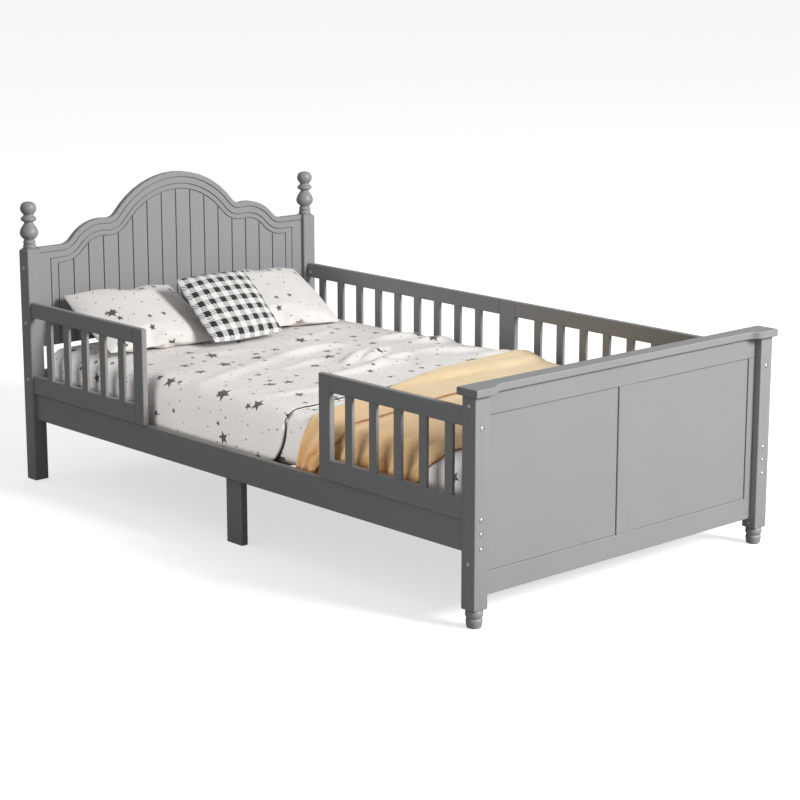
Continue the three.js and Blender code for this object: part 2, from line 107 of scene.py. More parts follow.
def apply_place(obj):
    """Moves an object's place and turn into its mesh."""
    select_only(obj)
    bpy.ops.object.transform_apply(location=True, rotation=True, scale=True)
    return obj


def shade_smooth(obj, angle=None):
    select_only(obj)
    if angle is None:
        bpy.ops.object.shade_smooth()
    else:
        bpy.ops.object.shade_smooth_by_angle(angle=math.radians(angle))
    return obj


def mesh_object(name, vertices, faces, uvs=None):
    """A mesh object from vertices and faces, with one UV pair per vertex if given."""
    mesh = bpy.data.meshes.new(name)
    mesh.from_pydata([tuple(v) for v in vertices], [], faces)
    obj = bpy.data.objects.new(name, mesh)
    scene.collection.objects.link(obj)
    if uvs is not None:
        layer = mesh.uv_layers.new(name="fabric")
        for loop in mesh.loops:
            layer.data[loop.index].uv = uvs[loop.vertex_index]
    return obj


def grid_faces(columns, rows):
    """Quads of a grid whose vertices run along rows first."""
    faces = []
    for column in range(columns - 1):
        for row in range(rows - 1):
            corner = column * rows + row
            faces.append((corner, corner + rows, corner + rows + 1, corner + 1))
    return faces


def steps(low, high, count):
    return [low + (high - low) * i / (count - 1) for i in range(count)]


# ---------------------------------------------------------------- node helpers


class Nodes:
    """Adds and links nodes in one node tree."""

    def __init__(self, tree):
        self.tree = tree

    def add(self, kind, inputs=None, **settings):
        node = self.tree.nodes.new(kind)
        for key, value in settings.items():
            setattr(node, key, value)
        for key, value in (inputs or {}).items():
            socket = node.inputs[key]
            if isinstance(value, bpy.types.NodeSocket):
                self.tree.links.new(value, socket)
            else:
                socket.default_value = value
        return node

    def math(self, operation, first, second=0.0, third=0.0):
        return self.add("ShaderNodeMath", {0: first, 1: second, 2: third}, operation=operation).outputs[0]

    def vector(self, operation, first, second=(0, 0, 0)):
        return self.add("ShaderNodeVectorMath", {0: first, 1: second}, operation=operation).outputs[0]

    def mix(self, factor, first, second):
        node = self.add("ShaderNodeMix", data_type="RGBA")
        for socket, value in ((node.inputs[0], factor), (node.inputs[6], first), (node.inputs[7], second)):
            if isinstance(value, bpy.types.NodeSocket):
                self.tree.links.new(value, socket)
            else:
                socket.default_value = value
        return node.outputs[2]

    def ramp(self, value, low, high, out_low=0.0, out_high=1.0):
        inputs = {"Value": value, "From Min": low, "From Max": high, "To Min": out_low, "To Max": out_high}
        return self.add("ShaderNodeMapRange", inputs).outputs[0]

    def noise(self, vector, scale, detail=3.0, roughness=0.5, distortion=0.0):
        inputs = {
            "Vector": vector,
            "Scale": scale,
            "Detail": detail,
            "Roughness": roughness,
            "Distortion": distortion,
        }
        return self.add("ShaderNodeTexNoise", inputs).outputs[0]


def node_group(name, inputs, outputs):
    """An empty shader group: inputs are (name, kind, default), outputs are (name, kind)."""
    group = bpy.data.node_groups.new(name, "ShaderNodeTree")
    for label, kind, default in inputs:
        socket = group.interface.new_socket(label, in_out="INPUT", socket_type=f"NodeSocket{kind}")
        if default is not None:
            socket.default_value = default
    for label, kind in outputs:
        group.interface.new_socket(label, in_out="OUTPUT", socket_type=f"NodeSocket{kind}")
    nodes = Nodes(group)
    entry = nodes.add("NodeGroupInput")
    leave = nodes.add("NodeGroupOutput")
    return group, nodes, entry.outputs, leave.inputs


def grained_paint_group():
    """Opaque paint over wood: a faint grain along the board, roller texture, and worn edges that are also
    lightened as a painted highlight.
    """
    group, nodes, given, out = node_group(
        "grained_paint",
        [
            ("Vector", "Vector", None),
            ("Grain", "Vector", (1, 1, 1)),
            ("Edge Radius", "Float", 0.0015),
        ],
        [("Tone", "Float"), ("Edge", "Float"), ("Roughness", "Float"), ("Height", "Float")],
    )
    stretched = nodes.vector("MULTIPLY", given["Vector"], given["Grain"])
    grain = nodes.noise(stretched, 1.0, 4.0, 0.55, 0.4)
    clouds = nodes.noise(given["Vector"], 5.0, 3.0, 0.5)
    roller = nodes.noise(given["Vector"], 420.0, 2.0, 0.6)
    grain_part = nodes.math("MULTIPLY", grain, 0.45)
    tone = nodes.math("MULTIPLY_ADD", clouds, 0.55, grain_part)
    nodes.tree.links.new(tone, out["Tone"])
    rounded = nodes.add("ShaderNodeBevel", {"Radius": given["Edge Radius"]}, samples=4).outputs[0]
    flat = nodes.add("ShaderNodeNewGeometry").outputs["True Normal"]
    facing = nodes.add(
        "ShaderNodeVectorMath", {0: rounded, 1: flat}, operation="DOT_PRODUCT"
    ).outputs["Value"]
    # Edge mask, broken up by scuffs: the paint turns lighter here, partly as wear and partly as a painted
    # highlight along the edges.
    edge = nodes.ramp(facing, 0.99, 0.86)
    scuffs = nodes.ramp(nodes.noise(given["Vector"], 60.0, 4.0, 0.7), 0.35, 0.75)
    nodes.tree.links.new(nodes.math("MULTIPLY", edge, scuffs), out["Edge"])
    rough = nodes.math("MULTIPLY_ADD", roller, 0.10, 0.40)
    nodes.tree.links.new(nodes.math("MULTIPLY_ADD", clouds, 0.08, rough), out["Roughness"])
    height = nodes.math("MULTIPLY_ADD", roller, 0.25, nodes.math("MULTIPLY", grain, 0.75))
    nodes.tree.links.new(height, out["Height"])
    return group


def pine_grain_group():
    """Planed pine: growth rings stretched along the board, pores and a few darker streaks."""
    group, nodes, given, out = node_group(
        "pine_grain",
        [("Vector", "Vector", None), ("Grain", "Vector", (1, 1, 1))],
        [("Ring", "Float"), ("Pores", "Float"), ("Height", "Float")],
    )
    stretched = nodes.vector("MULTIPLY", given["Vector"], given["Grain"])
    warp = nodes.noise(stretched, 0.6, 3.0, 0.5)
    rings = nodes.math("SINE", nodes.math("MULTIPLY", warp, 42.0))
    ring = nodes.ramp(rings, -1.0, 1.0)
    pores = nodes.noise(stretched, 9.0, 3.0, 0.7)
    nodes.tree.links.new(ring, out["Ring"])
    nodes.tree.links.new(pores, out["Pores"])
    nodes.tree.links.new(nodes.math("MULTIPLY_ADD", ring, 0.4, pores), out["Height"])
    return group


def weave_group():
    """Plain weave: two crossed sets of threads with uneven yarn."""
    group, nodes, given, out = node_group(
        "plain_weave",
        [("Vector", "Vector", None), ("Threads", "Float", 1200.0)],
        [("Tone", "Float"), ("Height", "Float")],
    )
    scaled = nodes.add(
        "ShaderNodeVectorMath", {0: given["Vector"], "Scale": given["Threads"]}, operation="SCALE"
    ).outputs[0]
    parts = nodes.add("ShaderNodeSeparateXYZ", {0: scaled}).outputs
    warp = nodes.math("SINE", nodes.math("MULTIPLY", parts[0], math.pi))
    weft = nodes.math("SINE", nodes.math("MULTIPLY", parts[1], math.pi))
    cross = nodes.math("MULTIPLY", warp, weft)
    slub = nodes.noise(given["Vector"], 260.0, 3.0, 0.6)
    mottle = nodes.noise(given["Vector"], 14.0, 4.0, 0.55)
    tone = nodes.math("MULTIPLY_ADD", slub, 0.5, nodes.math("MULTIPLY", mottle, 0.5))
    nodes.tree.links.new(tone, out["Tone"])
    nodes.tree.links.new(nodes.math("MULTIPLY_ADD", cross, 0.35, slub), out["Height"])
    return group


STAR_POINT_ANGLE = math.pi / 5
STAR_NECK = 0.43


def star_print_group():
    """Five-pointed stars scattered one to a cell, each turned its own way."""
    group, nodes, given, out = node_group(
        "star_print",
        [
            ("Vector", "Vector", None),
            ("Cell", "Float", 0.1),
            ("Radius", "Float", 0.015),
            ("Share", "Float", 0.6),
            ("Shift", "Vector", (0, 0, 0)),
        ],
        [("Mask", "Float")],
    )
    moved = nodes.vector("ADD", given["Vector"], given["Shift"])
    scale = nodes.math("DIVIDE", 1.0, given["Cell"])
    cells = nodes.add(
        "ShaderNodeTexVoronoi",
        {"Vector": moved, "Scale": scale, "Randomness": 0.75},
        voronoi_dimensions="2D",
    ).outputs
    random = nodes.add("ShaderNodeSeparateColor", {0: cells["Color"]}).outputs
    local = nodes.vector("SUBTRACT", moved, cells["Position"])
    turn = nodes.math("MULTIPLY", random[0], 2 * math.pi)
    spun = nodes.add(
        "ShaderNodeVectorRotate", {"Vector": local, "Angle": turn}, rotation_type="Z_AXIS"
    ).outputs[0]
    parts = nodes.add("ShaderNodeSeparateXYZ", {0: spun}).outputs
    angle = nodes.math("ARCTAN2", parts[1], parts[0])
    folded = nodes.math("PINGPONG", nodes.math("ADD", angle, 2 * math.pi), STAR_POINT_ANGLE)
    distance = nodes.math(
        "SQRT", nodes.math("ADD", nodes.math("POWER", parts[0], 2.0), nodes.math("POWER", parts[1], 2.0))
    )
    size = nodes.math("MULTIPLY", given["Radius"], nodes.ramp(random[1], 0.0, 1.0, 0.65, 1.15))
    reach = nodes.math("DIVIDE", distance, size)
    neck_height = STAR_NECK * math.sin(STAR_POINT_ANGLE)
    neck_run = 1 - STAR_NECK * math.cos(STAR_POINT_ANGLE)
    along = nodes.math("MULTIPLY", nodes.math("COSINE", folded), neck_height)
    side = nodes.math("MULTIPLY_ADD", nodes.math("SINE", folded), neck_run, along)
    edge = nodes.math("MULTIPLY", reach, side)
    inside = nodes.ramp(edge, neck_height * 1.06, neck_height * 0.94)
    present = nodes.math("LESS_THAN", random[2], given["Share"])
    nodes.tree.links.new(nodes.math("MULTIPLY", inside, present), out["Mask"])
    return group


def houndstooth_group():
    """Bands of eight dark and eight light threads each way, crossing as a soft diagonal hatch."""
    group, nodes, given, out = node_group(
        "houndstooth",
        [("Vector", "Vector", None), ("Repeat", "Float", 0.04)],
        [("Dark", "Float"), ("Height", "Float")],
    )
    threads = nodes.math("DIVIDE", 16.0, given["Repeat"])
    scaled = nodes.add(
        "ShaderNodeVectorMath", {0: given["Vector"], "Scale": threads}, operation="SCALE"
    ).outputs[0]
    parts = nodes.add("ShaderNodeSeparateXYZ", {0: scaled}).outputs
    warp = nodes.math("FLOORED_MODULO", nodes.math("FLOOR", parts[0]), 16.0)
    weft = nodes.math("FLOORED_MODULO", nodes.math("FLOOR", parts[1]), 16.0)
    twill = nodes.math("FLOORED_MODULO", nodes.math("ADD", warp, weft), 4.0)
    hatch = nodes.math("MAXIMUM", nodes.math("MULTIPLY_ADD", twill, -0.5, 1.0), 0.0)
    warp_dark = nodes.math("LESS_THAN", warp, 7.5)
    weft_dark = nodes.math("LESS_THAN", weft, 7.5)
    crossing = nodes.math("MULTIPLY", nodes.math("MAXIMUM", warp_dark, weft_dark), hatch)
    shown = nodes.math("MAXIMUM", nodes.math("MULTIPLY", warp_dark, weft_dark), crossing)
    nodes.tree.links.new(shown, out["Dark"])
    ridge = nodes.math("SINE", nodes.math("MULTIPLY", nodes.math("ADD", parts[0], parts[1]), math.pi / 2))
    yarn = nodes.noise(given["Vector"], 700.0, 2.0, 0.6)
    nodes.tree.links.new(nodes.math("MULTIPLY_ADD", ridge, 0.3, yarn), out["Height"])
    return group


def nap_group():
    """Soft fleece nap: tufts lying in drifts, with a mask of random tufts that are painted lighter as
    highlights.
    """
    group, nodes, given, out = node_group(
        "fleece_nap",
        [("Vector", "Vector", None)],
        [("Drift", "Float"), ("Tuft", "Float"), ("Height", "Float")],
    )
    drift = nodes.noise(given["Vector"], 6.0, 5.0, 0.55, 0.6)
    brushed = nodes.vector("MULTIPLY", given["Vector"], (1.0, 3.0, 1.0))
    tuft_highlight = nodes.noise(brushed, 240.0, 4.0, 0.7, 0.8)
    nodes.tree.links.new(drift, out["Drift"])
    nodes.tree.links.new(tuft_highlight, out["Tuft"])
    nodes.tree.links.new(nodes.math("MULTIPLY_ADD", drift, 0.15, tuft_highlight), out["Height"])
    return group


GRAINED_PAINT = grained_paint_group()
PINE_GRAIN = pine_grain_group()
PLAIN_WEAVE = weave_group()
STAR_PRINT = star_print_group()
HOUNDSTOOTH = houndstooth_group()
FLEECE_NAP = nap_group()

# ---------------------------------------------------------------- materials


def new_material(name):
    """A new material with its node helper and its shader."""
    material = bpy.data.materials.new(name)
    material.use_nodes = True
    nodes = Nodes(material.node_tree)
    shader = material.node_tree.nodes["Principled BSDF"]
    return material, nodes, shader


def place_group(nodes, group, named):
    """Places a shader group in a material, with these values or links on its named inputs."""
    node = nodes.add("ShaderNodeGroup", node_tree=group)
    for key, value in named.items():
        if isinstance(value, bpy.types.NodeSocket):
            nodes.tree.links.new(value, node.inputs[key])
        else:
            node.inputs[key].default_value = value
    return node


def bump_into(nodes, shader, height, strength, distance):
    bump = nodes.add("ShaderNodeBump", {"Height": height, "Strength": strength, "Distance": distance})
    nodes.tree.links.new(bump.outputs[0], shader.inputs["Normal"])
    return bump


GREY = (0.292, 0.294, 0.300, 1)
GREY_DEEP = (0.278, 0.280, 0.286, 1)
# Lighter grey for the edges: paint wear and a painted highlight.
GREY_WORN_HIGHLIGHT = (0.420, 0.422, 0.428, 1)
ACROSS, LENGTHWISE, UPRIGHT = (9, 160, 160), (160, 9, 160), (160, 160, 9)


def painted_wood(name, grain):
    material, nodes, shader = new_material(name)
    place = nodes.add("ShaderNodeTexCoord").outputs["Object"]
    paint = place_group(nodes, GRAINED_PAINT, {"Vector": place, "Grain": grain, "Edge Radius": 0.0016})
    tone = nodes.ramp(paint.outputs["Tone"], 0.35, 0.65)
    body = nodes.mix(tone, GREY_DEEP, GREY)
    # Edges turn lighter grey: partly wear, partly a painted highlight where edges catch the light.
    worn_highlight = nodes.math("MULTIPLY", paint.outputs["Edge"], 0.5)
    nodes.tree.links.new(nodes.mix(worn_highlight, body, GREY_WORN_HIGHLIGHT), shader.inputs["Base Color"])
    nodes.tree.links.new(paint.outputs["Roughness"], shader.inputs["Roughness"])
    rounded = nodes.add("ShaderNodeBevel", {"Radius": 0.0018}, samples=4)
    bump = bump_into(nodes, shader, paint.outputs["Height"], 0.07, 0.0003)
    nodes.tree.links.new(rounded.outputs[0], bump.inputs["Normal"])
    shader.inputs["Coat Weight"].default_value = 0.12
    shader.inputs["Coat Roughness"].default_value = 0.25
    return material


def planed_pine(name, grain):
    material, nodes, shader = new_material(name)
    place = nodes.add("ShaderNodeTexCoord").outputs["Object"]
    pine = place_group(nodes, PINE_GRAIN, {"Vector": place, "Grain": grain})
    rings = nodes.mix(pine.outputs["Ring"], (0.60, 0.42, 0.24, 1), (0.74, 0.57, 0.36, 1))
    pores = nodes.ramp(pine.outputs["Pores"], 0.55, 0.75, 0.0, 0.35)
    nodes.tree.links.new(nodes.mix(pores, rings, (0.42, 0.27, 0.14, 1)), shader.inputs["Base Color"])
    shader.inputs["Roughness"].default_value = 0.68
    bump_into(nodes, shader, pine.outputs["Height"], 0.25, 0.0005)
    return material


STAR_INK = (0.032, 0.032, 0.037, 1)


def starry_colour(nodes, uv, ground):
    """The ground colour with three sizes of star printed on it."""
    prints = [
        (0.130, 0.0235, 0.72, (0.02, 0.05, 0)),
        (0.068, 0.0120, 0.50, (3.1, 1.7, 0)),
        (0.045, 0.0042, 0.60, (7.3, 5.9, 0)),
    ]
    colour = ground
    for cell, radius, share, shift in prints:
        star = place_group(
            nodes,
            STAR_PRINT,
            {"Vector": uv, "Cell": cell, "Radius": radius, "Share": share, "Shift": shift},
        )
        printed = nodes.math("MULTIPLY", star.outputs["Mask"], 0.93)
        colour = nodes.mix(printed, colour, STAR_INK)
    return colour


def star_cotton():
    material, nodes, shader = new_material("star_cotton")
    uv = nodes.add("ShaderNodeUVMap", uv_map="fabric").outputs[0]
    weave = place_group(nodes, PLAIN_WEAVE, {"Vector": uv, "Threads": 1400.0})
    tone = nodes.ramp(weave.outputs["Tone"], 0.35, 0.65)
    ground = nodes.mix(tone, (0.70, 0.665, 0.64, 1), (0.76, 0.73, 0.705, 1))
    nodes.tree.links.new(starry_colour(nodes, uv, ground), shader.inputs["Base Color"])
    shader.inputs["Roughness"].default_value = 0.85
    shader.inputs["Sheen Weight"].default_value = 0.15
    bump_into(nodes, shader, weave.outputs["Height"], 0.25, 0.0004)
    return material


def mattress_ticking():
    material, nodes, shader = new_material("mattress_ticking")
    uv = nodes.add("ShaderNodeUVMap", uv_map="fabric").outputs[0]
    weave = place_group(nodes, PLAIN_WEAVE, {"Vector": uv, "Threads": 700.0})
    tone = nodes.ramp(weave.outputs["Tone"], 0.35, 0.65)
    ticking = nodes.mix(tone, (0.72, 0.71, 0.68, 1), (0.82, 0.81, 0.78, 1))
    nodes.tree.links.new(ticking, shader.inputs["Base Color"])
    shader.inputs["Roughness"].default_value = 0.9
    bump_into(nodes, shader, weave.outputs["Height"], 0.4, 0.0008)
    return material


HOUNDSTOOTH_REPEAT = 0.0385


def check_cotton():
    material, nodes, shader = new_material("check_cotton")
    uv = nodes.add("ShaderNodeUVMap", uv_map="fabric").outputs[0]
    check = place_group(nodes, HOUNDSTOOTH, {"Vector": uv, "Repeat": HOUNDSTOOTH_REPEAT})
    weave = place_group(nodes, PLAIN_WEAVE, {"Vector": uv, "Threads": 900.0})
    light = nodes.mix(weave.outputs["Tone"], (0.66, 0.66, 0.64, 1), (0.80, 0.80, 0.78, 1))
    dark = nodes.mix(weave.outputs["Tone"], (0.008, 0.008, 0.009, 1), (0.03, 0.03, 0.032, 1))
    nodes.tree.links.new(nodes.mix(check.outputs["Dark"], light, dark), shader.inputs["Base Color"])
    shader.inputs["Roughness"].default_value = 0.85
    shader.inputs["Sheen Weight"].default_value = 0.1
    bump_into(nodes, shader, check.outputs["Height"], 0.4, 0.0008)
    return material


def amber_fleece():
    material, nodes, shader = new_material("amber_fleece")
    uv = nodes.add("ShaderNodeUVMap", uv_map="fabric").outputs[0]
    nap = place_group(nodes, FLEECE_NAP, {"Vector": uv})
    drift = nodes.ramp(nap.outputs["Drift"], 0.35, 0.65)
    body = nodes.mix(drift, (0.66, 0.50, 0.28, 1), (0.72, 0.58, 0.38, 1))
    # Painted highlight: random tufts turn a lighter amber, as if they caught the light.
    tuft_highlight = nodes.ramp(nap.outputs["Tuft"], 0.40, 0.72, 0.0, 0.45)
    nappy = nodes.mix(tuft_highlight, body, (0.76, 0.66, 0.48, 1))
    # Painted shade: the hanging sides, the pleat hollows and the near part of the throw turn a deeper orange.
    valley = nodes.add("ShaderNodeAttribute", attribute_name="valley").outputs["Fac"]
    nappy = nodes.mix(nodes.math("MULTIPLY", valley, 0.95), nappy, (0.70, 0.36, 0.10, 1))
    hem = nodes.add("ShaderNodeAttribute", attribute_name="hem").outputs["Fac"]
    hemmed = nodes.mix(nodes.ramp(hem, 0.35, 0.65), nappy, (0.42, 0.20, 0.07, 1))
    nodes.tree.links.new(hemmed, shader.inputs["Base Color"])
    shader.inputs["Roughness"].default_value = 0.92
    shader.inputs["Sheen Weight"].default_value = 0.35
    shader.inputs["Sheen Tint"].default_value = (1.0, 0.86, 0.66, 1)
    bump_into(nodes, shader, nap.outputs["Height"], 0.5, 0.002)
    return material


def piping_cotton():
    material, nodes, shader = new_material("piping_cotton")
    place = nodes.add("ShaderNodeTexCoord").outputs["Object"]
    weave = place_group(nodes, PLAIN_WEAVE, {"Vector": place, "Threads": 1400.0})
    nodes.tree.links.new(
        nodes.mix(weave.outputs["Tone"], (0.05, 0.05, 0.055, 1), (0.10, 0.10, 0.105, 1)),
        shader.inputs["Base Color"],
    )
    shader.inputs["Roughness"].default_value = 0.8
    bump_into(nodes, shader, weave.outputs["Height"], 0.3, 0.0005)
    return material


def zinc_steel():
    material, nodes, shader = new_material("zinc_steel")
    place = nodes.add("ShaderNodeTexCoord").outputs["Object"]
    scratches = nodes.noise(place, 900.0, 4.0, 0.7)
    bloom = nodes.noise(place, 120.0, 3.0, 0.5)
    plating = nodes.mix(bloom, (0.74, 0.75, 0.77, 1), (0.92, 0.92, 0.91, 1))
    nodes.tree.links.new(plating, shader.inputs["Base Color"])
    nodes.tree.links.new(nodes.ramp(scratches, 0.3, 0.7, 0.30, 0.50), shader.inputs["Roughness"])
    shader.inputs["Metallic"].default_value = 1.0
    bump_into(nodes, shader, scratches, 0.08, 0.0002)
    return material


PAINT_ACROSS = painted_wood("grey_paint_across", ACROSS)
PAINT_LENGTHWISE = painted_wood("grey_paint_lengthwise", LENGTHWISE)
PAINT_UPRIGHT = painted_wood("grey_paint_upright", UPRIGHT)
PINE_ACROSS = planed_pine("pine_across", (3, 40, 40))
PINE_LENGTHWISE = planed_pine("pine_lengthwise", (40, 3, 40))
STAR_COTTON = star_cotton()
TICKING = mattress_ticking()
CHECK_COTTON = check_cotton()
AMBER_FLEECE = amber_fleece()
PIPING = piping_cotton()
ZINC = zinc_steel()


def wood_material(node):
    """The finish of a wooden CAD node, its grain along the node's length."""
    low, high = box(node)
    size = high - low
    longest = max(range(3), key=lambda axis: size[axis])
    if node.startswith("slat_ledger") or node == "centre_beam":
        return PINE_LENGTHWISE
    if node.startswith("slat_"):
        return PINE_ACROSS
    if node == "headboard_panel":
        return PAINT_UPRIGHT
    return (PAINT_ACROSS, PAINT_LENGTHWISE, PAINT_UPRIGHT)[longest]


SOFT_NODES = ("mattress", "duvet", "throw_blanket", "pillow_left", "pillow_right", "check_cushion")
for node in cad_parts:
    if node not in SOFT_NODES:
        cad_object = bpy.data.objects[node]
        cad_object.data.materials.clear()
        cad_object.data.materials.append(wood_material(node))

# ---------------------------------------------------------------- turned wood and bolts


def through(a, b, c, d, t):
    """Value at t from 0 to 1 between b and c, on a smooth curve through a, b, c and d."""
    slope, bend, twist = c - a, 2 * a - 5 * b + 4 * c - d, 3 * b - a - 3 * c + d
    return 0.5 * (2 * b + slope * t + bend * t * t + twist * t ** 3)


def rounded_profile(profile, splits=4):
    """A smooth curve through (radius, height) points, for the lathe."""
    points = [profile[0]] + list(profile) + [profile[-1]]
    curve = []
    for knots in zip(points, points[1:], points[2:], points[3:]):
        for step in range(splits):
            curve.append(tuple(through(*values, step / splits) for values in zip(*knots)))
    return curve + [profile[-1]]


def turned(name, profile, centre, segments=48):
    """Turns a piece about an upright axis: (radius, height) in metres from the bottom up."""
    radius, height = profile[0]
    bpy.ops.object.select_all(action="DESELECT")
    place = centre + Vector((0, 0, height))
    bpy.ops.mesh.primitive_circle_add(vertices=segments, radius=radius, fill_type="NGON", location=place)
    obj = bpy.context.object
    obj.name = name
    bpy.ops.object.mode_set(mode="EDIT")
    bpy.ops.mesh.select_all(action="SELECT")
    for next_radius, next_height in profile[1:]:
        rise = (0, 0, next_height - height)
        grow = next_radius / radius
        bpy.ops.mesh.extrude_region_move(TRANSFORM_OT_translate={"value": rise})
        ring = centre + Vector((0, 0, next_height))
        bpy.ops.transform.resize(value=(grow, grow, 1), center_override=ring)
        radius, height = next_radius, next_height
    bpy.ops.mesh.select_all(action="SELECT")
    bpy.ops.mesh.normals_make_consistent(inside=False)
    bpy.ops.object.mode_set(mode="OBJECT")
    return apply_place(obj)


def combine(obj, tool, operation):
    """Joins tool to obj, or cuts it away, and removes it."""
    apply_modifier(obj, "shape", "BOOLEAN", operation=operation, object=tool, solver="EXACT")
    bpy.data.objects.remove(tool, do_unlink=True)


def finish_wood(obj, material, node):
    """Paints a shaped piece of wood that stands for a CAD node."""
    shade_smooth(obj, 35)
    obj.data.materials.clear()
    obj.data.materials.append(material)
    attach(obj, "root")
    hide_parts(node)
    return obj


# Profiles as (radius, height) in metres, from the bottom up
FINIAL_PROFILE = (
    (0.0190, 0.0000), (0.0196, 0.0050), (0.0190, 0.0100), (0.0166, 0.0125), (0.0184, 0.0150),
    (0.0186, 0.0200), (0.0164, 0.0235), (0.0152, 0.0262), (0.0220, 0.0330), (0.0265, 0.0400),
    (0.0279, 0.0470), (0.0265, 0.0540), (0.0225, 0.0630), (0.0170, 0.0710), (0.0136, 0.0770),
    (0.0142, 0.0800), (0.0205, 0.0832), (0.0235, 0.0880), (0.0225, 0.0930), (0.0170, 0.0972),
    (0.0150, 0.1010), (0.0160, 0.1040), (0.0205, 0.1090), (0.0235, 0.1150), (0.0244, 0.1210),
    (0.0235, 0.1270), (0.0205, 0.1335), (0.0155, 0.1380), (0.0080, 0.1405), (0.0020, 0.1411),
)
FOOT_PROFILE = (
    (0.0150, 0.0002), (0.0185, 0.0020), (0.0196, 0.0060), (0.0210, 0.0140), (0.0215, 0.0195),
    (0.0206, 0.0235), (0.0194, 0.0252), (0.0202, 0.0275), (0.0222, 0.0310), (0.0230, 0.0360),
    (0.0224, 0.0420), (0.0206, 0.0460), (0.0190, 0.0480), (0.0190, 0.0560),
)
FOOT_HEIGHT = 0.048
POST_EASE = 0.0025

# Bolt and nut heights on the posts
FRONT_BOLTS = (0.508, 0.279, 0.242, 0.204)
FOOT_SIDE_BOLTS = (0.563, 0.166)
HEAD_SIDE_BOLTS = (0.658, 0.489, 0.314)
FOOT_NUT = 0.062
GUARD_NUT = 0.527
GUARD_NUT_INSET = 0.016
GUARD_NUT_SUNK = 0.0003
BORE_RADIUS = 0.0072
BORE_DEPTH = 0.0012
SOCKET_REACH = 0.0023
SOCKET_RIM = 0.0008
SOCKET_DEPTH = 0.0017


def bore(place, facing, radius, depth):
    """A plug to drill with: it reaches depth into the face at place."""
    plug = turned("plug", ((radius, -depth), (radius, 0.002)), Vector((0, 0, 0)), 32)
    plug.data.transform(Matrix.Translation(place) @ facing.to_track_quat("Z", "Y").to_matrix().to_4x4())
    return plug


def foot_post(node, outward):
    """A foot post: a square stick whose lowest end is turned, drilled for its bolts."""
    low, high = box(node)
    middle = (low + high) / 2
    size = Vector((high.x - low.x, high.y - low.y, high.z - FOOT_HEIGHT))
    bpy.ops.object.select_all(action="DESELECT")
    centre = (middle.x, middle.y, (FOOT_HEIGHT + high.z) / 2)
    bpy.ops.mesh.primitive_cube_add(size=1, location=centre)
    obj = bpy.context.object
    obj.name = node + "_turned"
    obj.scale = size
    apply_place(obj)
    bpy.ops.object.mode_set(mode="EDIT")
    bpy.ops.mesh.select_all(action="SELECT")
    bpy.ops.mesh.bevel(offset=POST_EASE, segments=4, profile=0.5)
    bpy.ops.object.mode_set(mode="OBJECT")
    axis = Vector((middle.x, middle.y, 0.0))
    combine(obj, turned("turned_foot", rounded_profile(FOOT_PROFILE), axis), "UNION")
    outer = high.x if outward.x > 0 else low.x
    inner = low.x if outward.x > 0 else high.x
    front = Vector((0, -1, 0))
    bolts = [(Vector((middle.x, low.y, z)), front) for z in FRONT_BOLTS]
    bolts += [(Vector((outer, middle.y, z)), outward) for z in FOOT_SIDE_BOLTS]
    nut = (Vector((inner, middle.y, FOOT_NUT)), -outward)
    for place, facing in bolts + [nut]:
        combine(obj, bore(place, facing, BORE_RADIUS, BORE_DEPTH), "DIFFERENCE")
    finish_wood(obj, PAINT_UPRIGHT, node)
    return bolts, nut


def hexagon_reach(angle):
    """How far a hexagon of unit apothem reaches at an angle."""
    turn = (angle % (math.pi / 3)) - math.pi / 6
    return 1 / math.cos(turn)


def select_face(obj, face):
    """Leaves one face of obj selected, for face editing."""
    select_only(obj)
    for part in (obj.data.vertices, obj.data.edges, obj.data.polygons):
        part.foreach_set("select", [False] * len(part))
    face.select = True
    scene.tool_settings.mesh_select_mode = (False, False, True)


def bolt_head():
    """A domed bolt head with a hexagon socket, facing up from the origin."""
    dome = ((0.0060, 0.0), (0.0060, 0.0009), (0.0056, 0.0017), (0.0047, 0.0023), (0.0036, 0.0026))
    obj = turned("bolt_head", dome, Vector((0, 0, 0)), 24)
    top = max(obj.data.polygons, key=lambda face: face.center.z)
    select_face(obj, top)
    bpy.ops.object.mode_set(mode="EDIT")
    bpy.ops.mesh.inset(thickness=SOCKET_RIM, depth=0)
    bpy.ops.object.mode_set(mode="OBJECT")
    top = [face for face in obj.data.polygons if face.select][0]
    for index in top.vertices:
        vertex = obj.data.vertices[index]
        angle = math.atan2(vertex.co.y, vertex.co.x)
        reach = SOCKET_REACH * hexagon_reach(angle)
        vertex.co.x, vertex.co.y = reach * math.cos(angle), reach * math.sin(angle)
    bpy.ops.object.mode_set(mode="EDIT")
    bpy.ops.mesh.extrude_region_move(TRANSFORM_OT_translate={"value": (0, 0, -SOCKET_DEPTH)})
    bpy.ops.object.mode_set(mode="OBJECT")
    return obj


def barrel_nut():
    """The slotted end of a barrel nut, facing up from the origin."""
    end = ((0.0050, 0.0), (0.0050, 0.0006), (0.0047, 0.0009))
    obj = turned("barrel_nut", end, Vector((0, 0, 0)), 32)
    bpy.ops.mesh.primitive_cube_add(size=1, location=(0, 0, 0.0009))
    slot = bpy.context.object
    slot.scale = (0.0012, 0.0082, 0.0010)
    apply_place(slot)
    combine(obj, slot, "DIFFERENCE")
    return obj


def fit_hardware(pattern, name, places, sunk):
    """Copies a bolt head or a nut to each (place, facing), sunk that far into the wood."""
    for number, (place, facing) in enumerate(places, start=1):
        copy = bpy.data.objects.new(f"{name}_{number}", pattern.data.copy())
        scene.collection.objects.link(copy)
        seat = Matrix.Translation(place - facing * sunk)
        copy.data.transform(seat @ facing.to_track_quat("Z", "Y").to_matrix().to_4x4())
        shade_smooth(copy, 35)
        copy.data.materials.clear()
        copy.data.materials.append(ZINC)
        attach(copy, "root")


